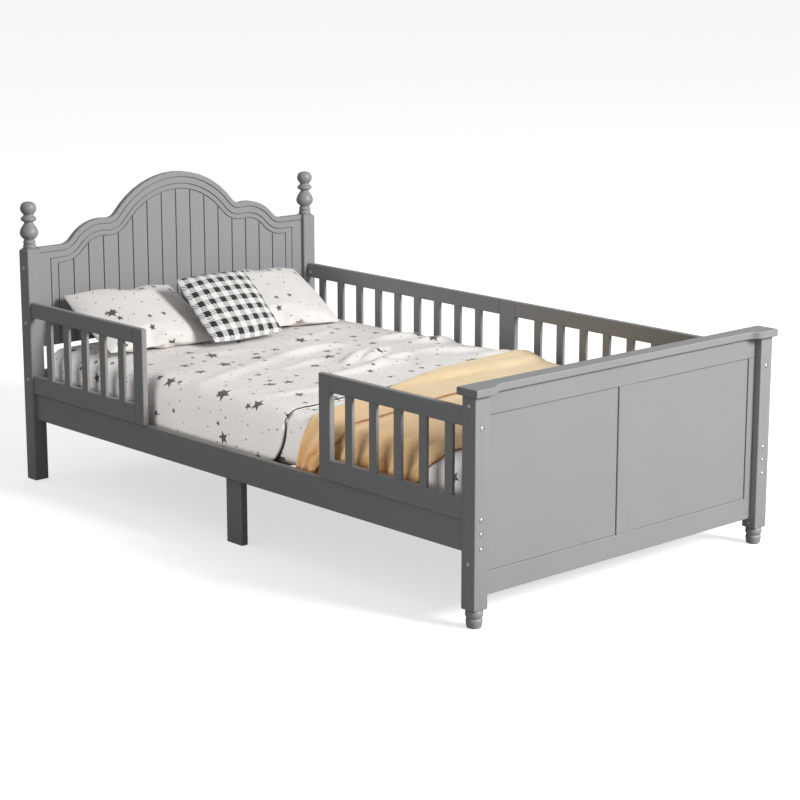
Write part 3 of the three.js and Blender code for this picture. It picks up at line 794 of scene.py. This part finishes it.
foot_bolts, foot_nuts, head_bolts, guard_nuts = [], [], [], []
for side, outward in (("left", Vector((-1, 0, 0))), ("right", Vector((1, 0, 0)))):
    low, high = box(f"head_post_{side}")
    centre = (low + high) / 2
    axis = Vector((centre.x, centre.y, high.z))
    finial = turned(f"finial_{side}_turned", rounded_profile(FINIAL_PROFILE), axis)
    finish_wood(finial, PAINT_UPRIGHT, f"finial_{side}")
    outer = high.x if side == "right" else low.x
    head_bolts += [(Vector((outer, centre.y, z)), outward) for z in HEAD_SIDE_BOLTS]
    bolts, nut = foot_post(f"foot_post_{side}", outward)
    foot_bolts += bolts
    foot_nuts.append(nut)

for ladder, inset in (
    ("long_guard_head_ladder", -GUARD_NUT_INSET),
    ("long_guard_foot_ladder", GUARD_NUT_INSET),
):
    low, high = box(ladder)
    end = high.y if inset < 0 else low.y
    guard_nuts.append((Vector((low.x, end + inset, GUARD_NUT)), Vector((-1, 0, 0))))

bolt_pattern = bolt_head()
nut_pattern = barrel_nut()
fit_hardware(bolt_pattern, "foot_bolt", foot_bolts, BORE_DEPTH)
fit_hardware(bolt_pattern, "head_bolt", head_bolts, 0.0)
fit_hardware(nut_pattern, "foot_nut", foot_nuts, BORE_DEPTH)
fit_hardware(nut_pattern, "guard_nut", guard_nuts, GUARD_NUT_SUNK)
for pattern in (bolt_pattern, nut_pattern):
    bpy.data.objects.remove(pattern, do_unlink=True)

# ---------------------------------------------------------------- cloth


def collider(obj, gap, friction=12.0):
    modifier = obj.modifiers.new("collision", "COLLISION")
    obj.collision.thickness_outer = gap
    obj.collision.cloth_friction = friction
    return modifier


def block(name, low, high):
    """A plain box that cloth rests against while it settles; it is removed afterwards."""
    bpy.ops.mesh.primitive_cube_add(size=1, location=(Vector(low) + Vector(high)) / 2)
    obj = bpy.context.object
    obj.name = name
    obj.scale = Vector(high) - Vector(low)
    return apply_place(obj)


def settle(obj, frames, flat=None, pressure=0.0, gravity=1.0, mass=0.3, stretch=15.0, bend=0.5, self_gap=0.0,
           quality=5, friction=8.0, gap=0.003):
    """Runs cloth on obj and keeps the result. flat holds the vertices of the unstressed cloth."""
    if flat is not None:
        obj.shape_key_add(name="Basis")
        key = obj.shape_key_add(name="flat")
        for point, place in zip(key.data, flat):
            point.co = place
        key.value = 0.0
    modifier = obj.modifiers.new("cloth", "CLOTH")
    cloth = modifier.settings
    cloth.quality = quality
    cloth.mass = mass
    cloth.tension_stiffness = stretch
    cloth.compression_stiffness = stretch
    cloth.shear_stiffness = stretch / 3
    cloth.bending_stiffness = bend
    cloth.air_damping = 1.0
    cloth.effector_weights.gravity = gravity
    if flat is not None:
        cloth.rest_shape_key = obj.data.shape_keys.key_blocks["flat"]
    if pressure:
        cloth.use_pressure = True
        cloth.uniform_pressure_force = pressure
    contact = modifier.collision_settings
    contact.distance_min = gap
    contact.friction = friction
    contact.use_self_collision = self_gap > 0
    if self_gap:
        contact.self_distance_min = self_gap
    modifier.point_cache.frame_start = 1
    modifier.point_cache.frame_end = frames
    for number in range(1, frames + 1):
        scene.frame_set(number)
    graph = bpy.context.evaluated_depsgraph_get()
    settled = bpy.data.meshes.new_from_object(obj.evaluated_get(graph))
    obj.modifiers.clear()
    if flat is not None:
        obj.shape_key_clear()
    old = obj.data
    obj.data = settled
    settled.name = obj.name
    bpy.data.meshes.remove(old)
    scene.frame_set(1)
    return obj


def dress(obj, material, slot_name, *replaced):
    """Gives a finished soft piece its material and its body, and hides the CAD nodes it stands for."""
    obj.data.materials.clear()
    obj.data.materials.append(material)
    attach(obj, "root")
    if replaced:
        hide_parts(*replaced)
    return obj


# ---------------------------------------------------------------- mattress

MATTRESS_EDGE = 0.042
MATTRESS_CROWN = 0.006
MATTRESS_RISE = 0.012


def runs_along(edge, axis):
    """Whether a mesh edge is parallel to an axis."""
    run = edge.verts[0].co - edge.verts[1].co
    return abs(run[axis]) > 1e-5 and run.length - abs(run[axis]) < 1e-6


def mattress():
    """A foam mattress in its fitted sheet: rounded edges, crowned top, ticking underneath."""
    low, high = box("mattress")
    high.z += MATTRESS_RISE
    centre, half = (low + high) / 2, (high - low) / 2
    obj = block("mattress_cover", low, high)
    mesh = bmesh.new()
    mesh.from_mesh(obj.data)
    for axis, cuts in ((0, 55), (1, 105), (2, 13)):
        along = [edge for edge in mesh.edges if runs_along(edge, axis)]
        bmesh.ops.subdivide_edges(mesh, edges=along, cuts=cuts, use_grid_fill=True)
    core = half - Vector((MATTRESS_EDGE,) * 3)
    for vertex in mesh.verts:
        local = vertex.co - centre
        inner = Vector([min(max(value, -limit), limit) for value, limit in zip(local, core)])
        out = local - inner
        if out.length > 1e-6:
            reach = max(abs(value) for value in out)
            local = inner + out.normalized() * reach
        across = 1 - (local.x / half.x) ** 2
        along = 1 - (local.y / half.y) ** 4
        if local.z > 0:
            local.z += MATTRESS_CROWN * across * along * local.z / half.z
            drift = noise.noise(Vector((local.x * 5, local.y * 5, 0.3)))
            local.z += 0.0025 * drift * across * along
        vertex.co = centre + local
    layer = mesh.loops.layers.uv.new("fabric")
    top = high.z
    for face in mesh.faces:
        normal = face.normal
        for loop in face.loops:
            point = loop.vert.co
            u, v = point.x, point.y
            if abs(normal.x) > 0.707:
                u = math.copysign(abs(point.x) + top - point.z, point.x)
            elif abs(normal.y) > 0.707:
                v = math.copysign(abs(point.y) + top - point.z, point.y)
            loop[layer].uv = (u + 0.31, v + 0.17)
        face.material_index = 1 if normal.z < -0.5 else 0
        face.smooth = True
    mesh.to_mesh(obj.data)
    mesh.free()
    obj.data.materials.append(STAR_COTTON)
    obj.data.materials.append(TICKING)
    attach(obj, "root")
    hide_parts("mattress")
    return obj


MATTRESS = mattress()
_, mattress_high = box("mattress")
mattress_top = mattress_high.z + MATTRESS_RISE + MATTRESS_CROWN

# Blocks that stand in for the frame while the bedding settles against it
BLOCK_DEPTH = 0.2
BLOCK_FOOT = 0.1
GUARD_BLOCK_FOOT = 0.26
GUARD_BLOCK_TOP = 0.56
FAR_BLOCK_END = 0.95
rail_low, rail_high = box("side_rail_left")
guard_low, guard_high = box("foot_guard_bottom_rail")
head_guard_low, head_guard_high = box("head_guard_bottom_rail")
far_guard_low, far_guard_high = box("long_guard_foot_ladder")

collider(MATTRESS, 0.002)
SETTLING_BLOCKS = [
    block(
        "near_rail_block",
        (rail_low.x - BLOCK_DEPTH, rail_low.y, BLOCK_FOOT),
        (rail_high.x + 0.001, rail_high.y, rail_high.z),
    ),
    block(
        "foot_guard_block",
        (guard_low.x - BLOCK_DEPTH, guard_low.y, GUARD_BLOCK_FOOT),
        (guard_high.x, guard_high.y, GUARD_BLOCK_TOP),
    ),
    block(
        "head_guard_block",
        (head_guard_low.x - BLOCK_DEPTH, head_guard_low.y, GUARD_BLOCK_FOOT),
        (head_guard_high.x, head_guard_high.y, GUARD_BLOCK_TOP),
    ),
    block(
        "far_side_block",
        (far_guard_low.x - 0.001, -FAR_BLOCK_END, BLOCK_FOOT),
        (far_guard_high.x + BLOCK_DEPTH, FAR_BLOCK_END, GUARD_BLOCK_TOP),
    ),
]
for settling_block in SETTLING_BLOCKS:
    collider(settling_block, 0.002)

# ---------------------------------------------------------------- quilt

QUILT_THICKNESS = 0.011
QUILT_FOOT_EDGE = -0.185
QUILT_HEAD_EDGE = 0.952
QUILT_DROP = 0.125
QUILT_CORNER = 0.140
QUILT_STEP = 0.0125
QUILT_FULLNESS = 0.03
QUILT_SWELL = 0.010
QUILT_FRAMES = 30
EDGE_BEND = 0.048
CREASE_GAIN = 1.35
CREASE_SPREAD = 0.72

# Folds left in the quilt: start, end, height and width, in metres
CREASES = (
    ((-0.46, 0.23), (-0.07, 0.35), 0.008, 0.035),
    ((-0.07, 0.35), (0.16, 0.345), 0.014, 0.028),
    ((-0.01, 0.13), (0.18, 0.22), 0.017, 0.020),
    ((0.05, 0.11), (0.26, 0.24), 0.015, 0.018),
    ((0.03, 0.04), (0.21, 0.10), 0.014, 0.020),
    ((-0.15, 0.05), (0.12, 0.02), 0.010, 0.028),
    ((0.24, 0.11), (0.42, 0.00), 0.011, 0.032),
    ((0.30, 0.35), (0.47, 0.33), 0.012, 0.030),
    ((0.37, 0.25), (0.49, 0.20), 0.014, 0.034),
    ((0.33, -0.06), (0.48, -0.09), 0.010, 0.045),
    ((-0.32, 0.56), (-0.05, 0.47), 0.006, 0.040),
    ((0.08, 0.50), (0.32, 0.58), 0.006, 0.036),
    ((-0.43, -0.02), (-0.20, -0.09), 0.006, 0.030),
    ((-0.20, 0.20), (-0.02, 0.24), 0.007, 0.022),
)


def over_edge(distance, edge, radius, level):
    """Point (out, height) that far from the middle, along a top at level that bends down at edge."""
    flat = edge - radius
    if distance <= flat:
        return distance, level
    arc = radius * math.pi / 2
    if distance <= flat + arc:
        angle = (distance - flat) / radius
        return flat + radius * math.sin(angle), level - radius * (1 - math.cos(angle))
    return edge, level - radius - (distance - flat - arc)


def crease_height(x, y):
    """How far the quilt's folds lift it at a point of its top."""
    warp_x = x + 0.020 * noise.noise(Vector((x * 6, y * 6, 1.0)))
    warp_y = y + 0.020 * noise.noise(Vector((x * 6, y * 6, 8.0)))
    place = Vector((warp_x, warp_y))
    lift = QUILT_SWELL * math.exp(-(((x - 0.28) / 0.30) ** 2 + ((y + 0.02) / 0.24) ** 2))
    for start, end, height, width in CREASES:
        start, end = Vector(start), Vector(end)
        run = end - start
        along = min(max((place - start).dot(run) / run.length_squared, 0.0), 1.0)
        aside = (place - start - run * along).length
        taper = 0.35 + 0.65 * math.sin(math.pi * along) ** 0.5
        lift += CREASE_GAIN * height * taper * math.exp(-((aside / (CREASE_SPREAD * width)) ** 2))
    ripple = noise.noise(Vector((x * 7.5, y * 7.5, 3.0)))
    return lift + 0.0030 * ripple + 0.0012 * noise.noise(Vector((x * 22, y * 22, 5.0)))


def crease(obj):
    """Pushes the folds out of the quilt, square to its own surface."""
    normals = [vertex.normal.copy() for vertex in obj.data.vertices]
    for vertex, normal in zip(obj.data.vertices, normals):
        upward = smoothstep(0.1, 0.9, abs(normal.z))
        hang = 0.003 * noise.noise(Vector((vertex.co.y * 9.0, vertex.co.z * 3.0, 11.0)))
        lift = crease_height(vertex.co.x, vertex.co.y) * upward + max(hang, -0.001) * (1 - upward)
        vertex.co += (normal if normal.z >= -0.2 else -normal) * lift


def quilt():
    """The quilt: laid over the mattress with its sides tucked down, rumpled towards the far side."""
    level = mattress_top + QUILT_THICKNESS / 2 + 0.004
    side = mattress_high.x + QUILT_THICKNESS / 2 + 0.002
    half_width = side - EDGE_BEND + EDGE_BEND * math.pi / 2 + QUILT_DROP
    length = QUILT_HEAD_EDGE - QUILT_FOOT_EDGE
    columns = round(2 * half_width / QUILT_STEP) + 1
    rows = round(length / QUILT_STEP) + 1
    placed, flat, uvs = [], [], []
    for across in steps(-half_width, half_width, columns):
        for along in steps(0.0, length, rows):
            u, v = across, along
            # the foot corners are rounded: a square corner becomes a quarter disc
            a, b = abs(u) - (half_width - QUILT_CORNER), QUILT_CORNER - v
            if a > 0 and b > 0:
                shrink = max(a, b) / math.hypot(a, b)
                u = math.copysign(half_width - QUILT_CORNER + a * shrink, u)
                v = QUILT_CORNER - b * shrink
            out, height = over_edge(abs(u), side, EDGE_BEND, level)
            y = QUILT_FOOT_EDGE + v
            ripple = 0.004 * noise.noise(Vector((u * 9.0 + 3.0, y * 9.0, 0.0)))
            placed.append(Vector((math.copysign(out, u), y, height + max(ripple, 0.0))))
            flat.append(Vector((u * (1 + QUILT_FULLNESS * 0.6), v * (1 + QUILT_FULLNESS), 0)))
            uvs.append((u, v))
    obj = mesh_object("quilt", placed, grid_faces(columns, rows), uvs)
    settle(obj, QUILT_FRAMES, flat=flat, mass=0.35, stretch=20.0, bend=2.5, quality=6, gap=0.004)
    crease(obj)
    rim = quilt_border(obj, columns, rows)
    apply_modifier(obj, "padding", "SOLIDIFY", thickness=QUILT_THICKNESS, offset=0.0)
    apply_modifier(obj, "smooth", "SUBSURF", levels=1, render_levels=1)
    shade_smooth(obj)
    dress(obj, STAR_COTTON, "star_cotton", "duvet")
    return obj, rim


def outward_normal(vertex):
    """A cloth vertex's normal, turned upwards on top and outwards on the sides."""
    normal, x = vertex.normal, vertex.co.x
    facing = normal.z + abs(x) * math.copysign(normal.x, x) > 0
    return normal.copy() if facing else -normal


def quilt_border(obj, columns, rows):
    """Points along the quilt's two side edges and its foot edge, in order, with the normal at each."""
    points = obj.data.vertices
    near = [points[row] for row in range(rows - 1, 0, -1)]
    foot = [points[column * rows] for column in range(columns)]
    far = [points[(columns - 1) * rows + row] for row in range(1, rows)]
    rim = near + foot + far
    return [(vertex.co.copy(), outward_normal(vertex)) for vertex in rim]


QUILT, QUILT_RIM = quilt()


def round_cord(name, points, radius, material):
    """A thin sewn cord along points."""
    curve = bpy.data.curves.new(name, "CURVE")
    curve.dimensions = "3D"
    curve.bevel_depth = radius
    curve.bevel_resolution = 2
    curve.use_fill_caps = True
    spline = curve.splines.new("POLY")
    spline.points.add(len(points) - 1)
    for point, place in zip(spline.points, points):
        point.co = (*place, 1)
    obj = bpy.data.objects.new(name, curve)
    scene.collection.objects.link(obj)
    select_only(obj)
    bpy.ops.object.convert(target="MESH")
    obj = bpy.context.object
    shade_smooth(obj)
    obj.data.materials.clear()
    obj.data.materials.append(material)
    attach(obj, "root")
    return obj


PIPING_RADIUS = 0.0019


def quilt_piping():
    """Dark piping sewn along the quilt's rim, standing just proud of it."""
    last = len(QUILT_RIM) - 1
    middle = sum((place for place, _ in QUILT_RIM), Vector()) / (last + 1)
    points = []
    for i, (place, surface) in enumerate(QUILT_RIM):
        before, after = QUILT_RIM[max(i - 3, 0)][0], QUILT_RIM[min(i + 3, last)][0]
        outward = (after - before).cross(surface).normalized()
        if outward.dot(place - middle) < 0:
            outward = -outward
        points.append(place + outward * PIPING_RADIUS + surface * (QUILT_THICKNESS - PIPING_RADIUS) / 2)
    return round_cord("quilt_piping", points, PIPING_RADIUS, PIPING)


quilt_piping()

# ---------------------------------------------------------------- pillows and cushion

POUCH_STEP = 0.0085
POUCH_CROWN = 0.018
SIDE_PULL = -0.05
STUFFING_FRAMES = 24


def pouch(name, width, height, step, side_pull, crown):
    """Two rectangles of cloth sewn round their edge, their sides pulled in, or bowed out if side_pull < 0."""
    columns, rows = round(width / step) + 1, round(height / step) + 1
    vertices, uvs, faces = [], [], []
    index = {}
    for sign in (1, -1):
        for i, x in enumerate(steps(-width / 2, width / 2, columns)):
            for j, y in enumerate(steps(-height / 2, height / 2, rows)):
                rim = i in (0, columns - 1) or j in (0, rows - 1)
                if rim and sign < 0:
                    index[(sign, i, j)] = index[(1, i, j)]
                    continue
                s, t = 2 * x / width, 2 * y / height
                px = x * (1 - side_pull * (1 - t * t))
                py = y * (1 - side_pull * (1 - s * s))
                swell = crown * (1 - s ** 4) * (1 - t ** 4)
                index[(sign, i, j)] = len(vertices)
                vertices.append(Vector((px, py, sign * swell)))
                uvs.append((x + (0 if sign > 0 else width * 1.3), y))
        for i in range(columns - 1):
            for j in range(rows - 1):
                corners = ((i, j), (i + 1, j), (i + 1, j + 1), (i, j + 1))
                quad = [index[(sign, column, row)] for column, row in corners]
                faces.append(quad if sign > 0 else quad[::-1])
    return mesh_object(name, vertices, faces, uvs)


def rest_on(obj, support, gap):
    """Presses obj flat wherever it would sink into support."""
    for vertex in obj.data.vertices:
        above = Vector((vertex.co.x, vertex.co.y, 1.0))
        hit, place, _, _ = support.ray_cast(above, Vector((0, 0, -1)))
        if hit and vertex.co.z < place.z + gap:
            vertex.co.z = place.z + gap


def stuffed(name, node, size, lean, turn, pressure, material, slot_name, shift=(0, 0, 0)):
    """A stuffed cover at the place of its CAD node, leaning back by lean and turned by turn degrees."""
    obj = pouch(name, *size, POUCH_STEP, SIDE_PULL, POUCH_CROWN)
    seed = len(name) * 1.7 + turn
    for vertex in obj.data.vertices:
        place = vertex.co
        drift = noise.noise(Vector((place.x * 14 + seed, place.y * 14, seed)))
        vertex.co.z += 0.002 * drift * (1 if place.z >= 0 else -1)
    settle(
        obj, STUFFING_FRAMES, pressure=pressure, gravity=0.0,
        mass=0.25, stretch=30.0, bend=0.8, quality=6,
    )
    low, high = box(node)
    centre = (low + high) / 2 + Vector(shift)
    leaning = Matrix.Translation(centre) @ Matrix.Rotation(math.radians(lean), 4, "X")
    obj.data.transform(leaning @ Matrix.Rotation(math.radians(turn), 4, "Z"))
    rest_on(obj, QUILT, 0.001)
    apply_modifier(obj, "smooth", "SUBSURF", levels=1, render_levels=1)
    shade_smooth(obj)
    dress(obj, material, slot_name, node)
    return obj


PILLOW_FLAT = (0.400, 0.305)
PILLOW_LEAN = 27.0
CUSHION_FLAT = (0.272, 0.262)
CUSHION_LEAN = 41.0

stuffed(
    "pillow_left_case", "pillow_left", PILLOW_FLAT, PILLOW_LEAN, -3.0, 2.6,
    STAR_COTTON, "star_cotton", (0.006, -0.006, -0.002),
)
stuffed(
    "pillow_right_case", "pillow_right", PILLOW_FLAT, PILLOW_LEAN, -5.0, 2.6,
    STAR_COTTON, "star_cotton", (-0.013, -0.008, -0.002),
)
stuffed(
    "cushion_cover", "check_cushion", CUSHION_FLAT, CUSHION_LEAN, 0.0, 3.4,
    CHECK_COTTON, "check_cotton", (-0.014, 0, 0),
)

# ---------------------------------------------------------------- throw

THROW_STEP = 0.0115
THROW_OVERFOLD = 0.195
THROW_HEAD_EDGE = -0.150
THROW_FOOT_EDGE = -0.79
THROW_FAR_EDGE = 0.506
THROW_DROP = 0.125
THROW_GATHER = 0.085
THROW_SKEW = 0.08
THROW_CORNER = 0.20
THROW_LIFT = 0.06
THROW_FLARE = 0.045
THROW_HEM = 0.006
THROW_LAYER = 0.008
PLEAT_PITCH = 0.085
PLEAT_DEPTH = 0.024
QUILT_STEP_UP = 0.012
THROW_FRAMES = 9
THROW_THICKNESS = 0.003


def pleat_at(s, t):
    """Depth of the throw's hanging pleats, 0 to 1, sharper at the crests."""
    wander = 1.3 * math.sin(s * 5.0 + t * 4.0) + 0.8 * math.sin(t * 23.0)
    wave = 0.5 + 0.5 * math.sin(2 * math.pi * t / PLEAT_PITCH + wander)
    return wave ** 1.4


def throw():
    """A fleece throw across the foot of the bed, its head edge folded back over itself."""
    level = mattress_top + 0.006
    side = mattress_high.x + 0.012
    reach = side - EDGE_BEND + EDGE_BEND * math.pi / 2 + THROW_DROP
    length = THROW_FAR_EDGE + reach
    under = THROW_HEAD_EDGE - THROW_FOOT_EDGE
    width = THROW_OVERFOLD + under
    columns, rows = round(length / THROW_STEP) + 1, round(width / THROW_STEP) + 1
    placed, flat, uvs, hem, valley = [], [], [], [], []
    for start in steps(0.0, length, columns):
        for across in steps(0.0, width, rows):
            s, t = start, across
            # the near corner towards the foot is rounded off
            a, b = s - (length - THROW_CORNER), t - (width - THROW_CORNER)
            if a > 0 and b > 0:
                shrink = max(a, b) / math.hypot(a, b)
                s, t = length - THROW_CORNER + a * shrink, width - THROW_CORNER + b * shrink
            x = THROW_FAR_EDGE - s
            out, height = over_edge(max(-x, 0.0), side, EDGE_BEND, level)
            px = x if x > 0 else -out
            near = smoothstep(0.20, -0.50, x)
            y = THROW_HEAD_EDGE - abs(t - THROW_OVERFOLD)
            pull = (y - THROW_FOOT_EDGE) / under
            hang = smoothstep(level, level - 1.5 * EDGE_BEND, height)
            low = smoothstep(level, level - THROW_DROP - EDGE_BEND, height)
            y += THROW_SKEW * (x + 0.1) * pull - THROW_GATHER * near * pull
            y += THROW_LIFT * (1 - pull) * hang + THROW_FLARE * low * pull
            flap = smoothstep(0.0, 0.03, THROW_OVERFOLD - t)
            y += 0.45 * max(THROW_OVERFOLD - t, 0.0) * low
            on_quilt = y > QUILT_FOOT_EDGE - 0.02 and abs(px) < side - EDGE_BEND
            lifted = crease_height(px, y) if on_quilt else 0.0
            layer = THROW_LAYER * flap
            pleat = pleat_at(s, t)
            ridge = noise.noise(Vector((px * 3.0, y * 11.0 + 0.6 * px, 2.0)))
            ruffle = flap * noise.noise(Vector((px * 6.0, y * 9.0, 6.0)))
            drift = 0.016 * max(ridge, 0.0) + 0.004 * max(ruffle, 0.0)
            step_up = QUILT_STEP_UP * smoothstep(QUILT_FOOT_EDGE - 0.05, QUILT_FOOT_EDGE + 0.01, y)
            placed.append(Vector((
                px - (PLEAT_DEPTH * pleat + layer) * hang,
                y,
                height + (layer + drift + step_up) * (1 - hang) + max(lifted, 0.0),
            )))
            flat.append(Vector((-s, t, 0)))
            uvs.append((s, t))
            rim = min(s, length - s, t, width - t)
            hem.append(1.0 if rim < THROW_HEM else 0.0)
            # Amount of painted shade: most on the hanging sides and in the pleat hollows, some towards the
            # near side.
            valley.append(max(hang * (0.6 + 0.4 * (1 - pleat)), 0.55 * near))
    obj = mesh_object("throw", placed, grid_faces(columns, rows), uvs)
    for name, values in (("hem", hem), ("valley", valley)):
        obj.data.attributes.new(name, "FLOAT", "POINT").data.foreach_set("value", values)
    collider(QUILT, 0.002)
    settle(
        obj, THROW_FRAMES, flat=flat, mass=0.2, stretch=15.0, bend=0.15,
        self_gap=0.004, quality=6, gap=0.003,
    )
    apply_modifier(obj, "cloth_body", "SOLIDIFY", thickness=THROW_THICKNESS, offset=0.0)
    apply_modifier(obj, "smooth", "SUBSURF", levels=1, render_levels=1)
    shade_smooth(obj)
    dress(obj, AMBER_FLEECE, "amber_fleece", "throw_blanket")
    return obj


throw()

# ---------------------------------------------------------------- tidy up after settling

for settled in (MATTRESS, QUILT):
    settled.modifiers.clear()
for settling_block in SETTLING_BLOCKS:
    bpy.data.objects.remove(settling_block, do_unlink=True)

# ---------------------------------------------------------------- stage

FLOOR_SIZE = 60.0
FLOOR_COLOUR = (0.85, 0.85, 0.85, 1)
FLOOR_BOUNCE = (0.30, 0.30, 0.30, 1)
FLOOR_GLOW = 0.62


def floor():
    """A white floor that glows for the camera and throws back only a little light."""
    bpy.ops.mesh.primitive_plane_add(size=FLOOR_SIZE, location=(0, 0, 0))
    obj = bpy.context.object
    obj.name = "floor"
    material, nodes, shader = new_material("floor")
    seen = nodes.add("ShaderNodeLightPath").outputs["Is Camera Ray"]
    nodes.tree.links.new(nodes.mix(seen, FLOOR_BOUNCE, FLOOR_COLOUR), shader.inputs["Base Color"])
    shader.inputs["Roughness"].default_value = 0.9
    shader.inputs["Emission Strength"].default_value = FLOOR_GLOW
    nodes.tree.links.new(nodes.mix(seen, (0, 0, 0, 1), (1, 1, 1, 1)), shader.inputs["Emission Color"])
    obj.data.materials.append(material)
    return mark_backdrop(obj)


floor()


def area_light(name, azimuth, elevation, distance, size, power):
    """A soft square light that faces the bed's middle."""
    data = bpy.data.lights.new(name, "AREA")
    data.size = size
    data.energy = power
    obj = bpy.data.objects.new(name, data)
    scene.collection.objects.link(obj)
    toward = direction(math.radians(azimuth), math.radians(elevation))
    obj.location = toward * distance
    obj.rotation_euler = toward.to_track_quat("Z", "Y").to_euler()
    return obj


area_light("key", 18.0, 30.0, 9.0, 3.0, 880.0)

# A side light that reaches only the sheet, the quilt and the throw
bedding_light = area_light("bedding_fill", -75.0, 12.0, 8.0, 4.0, 385.0)
bedding = bpy.data.collections.new("bedding")
for name in ("mattress_cover", "quilt", "throw"):
    bedding.objects.link(bpy.data.objects[name])
bedding_light.light_linking.receiver_collection = bedding

SURROUND_LIGHT = 0.36


def surround():
    """White all round for the camera, dimmer as light on the bed."""
    world = bpy.data.worlds.new("surround")
    scene.world = world
    world.use_nodes = True
    nodes = Nodes(world.node_tree)
    background = world.node_tree.nodes["Background"]
    background.inputs["Color"].default_value = (1, 1, 1, 1)
    seen = nodes.add("ShaderNodeLightPath").outputs["Is Camera Ray"]
    strength = nodes.ramp(seen, 0.0, 1.0, SURROUND_LIGHT, 1.0)
    world.node_tree.links.new(strength, background.inputs["Strength"])


surround()
scene.view_settings.view_transform = "Standard"
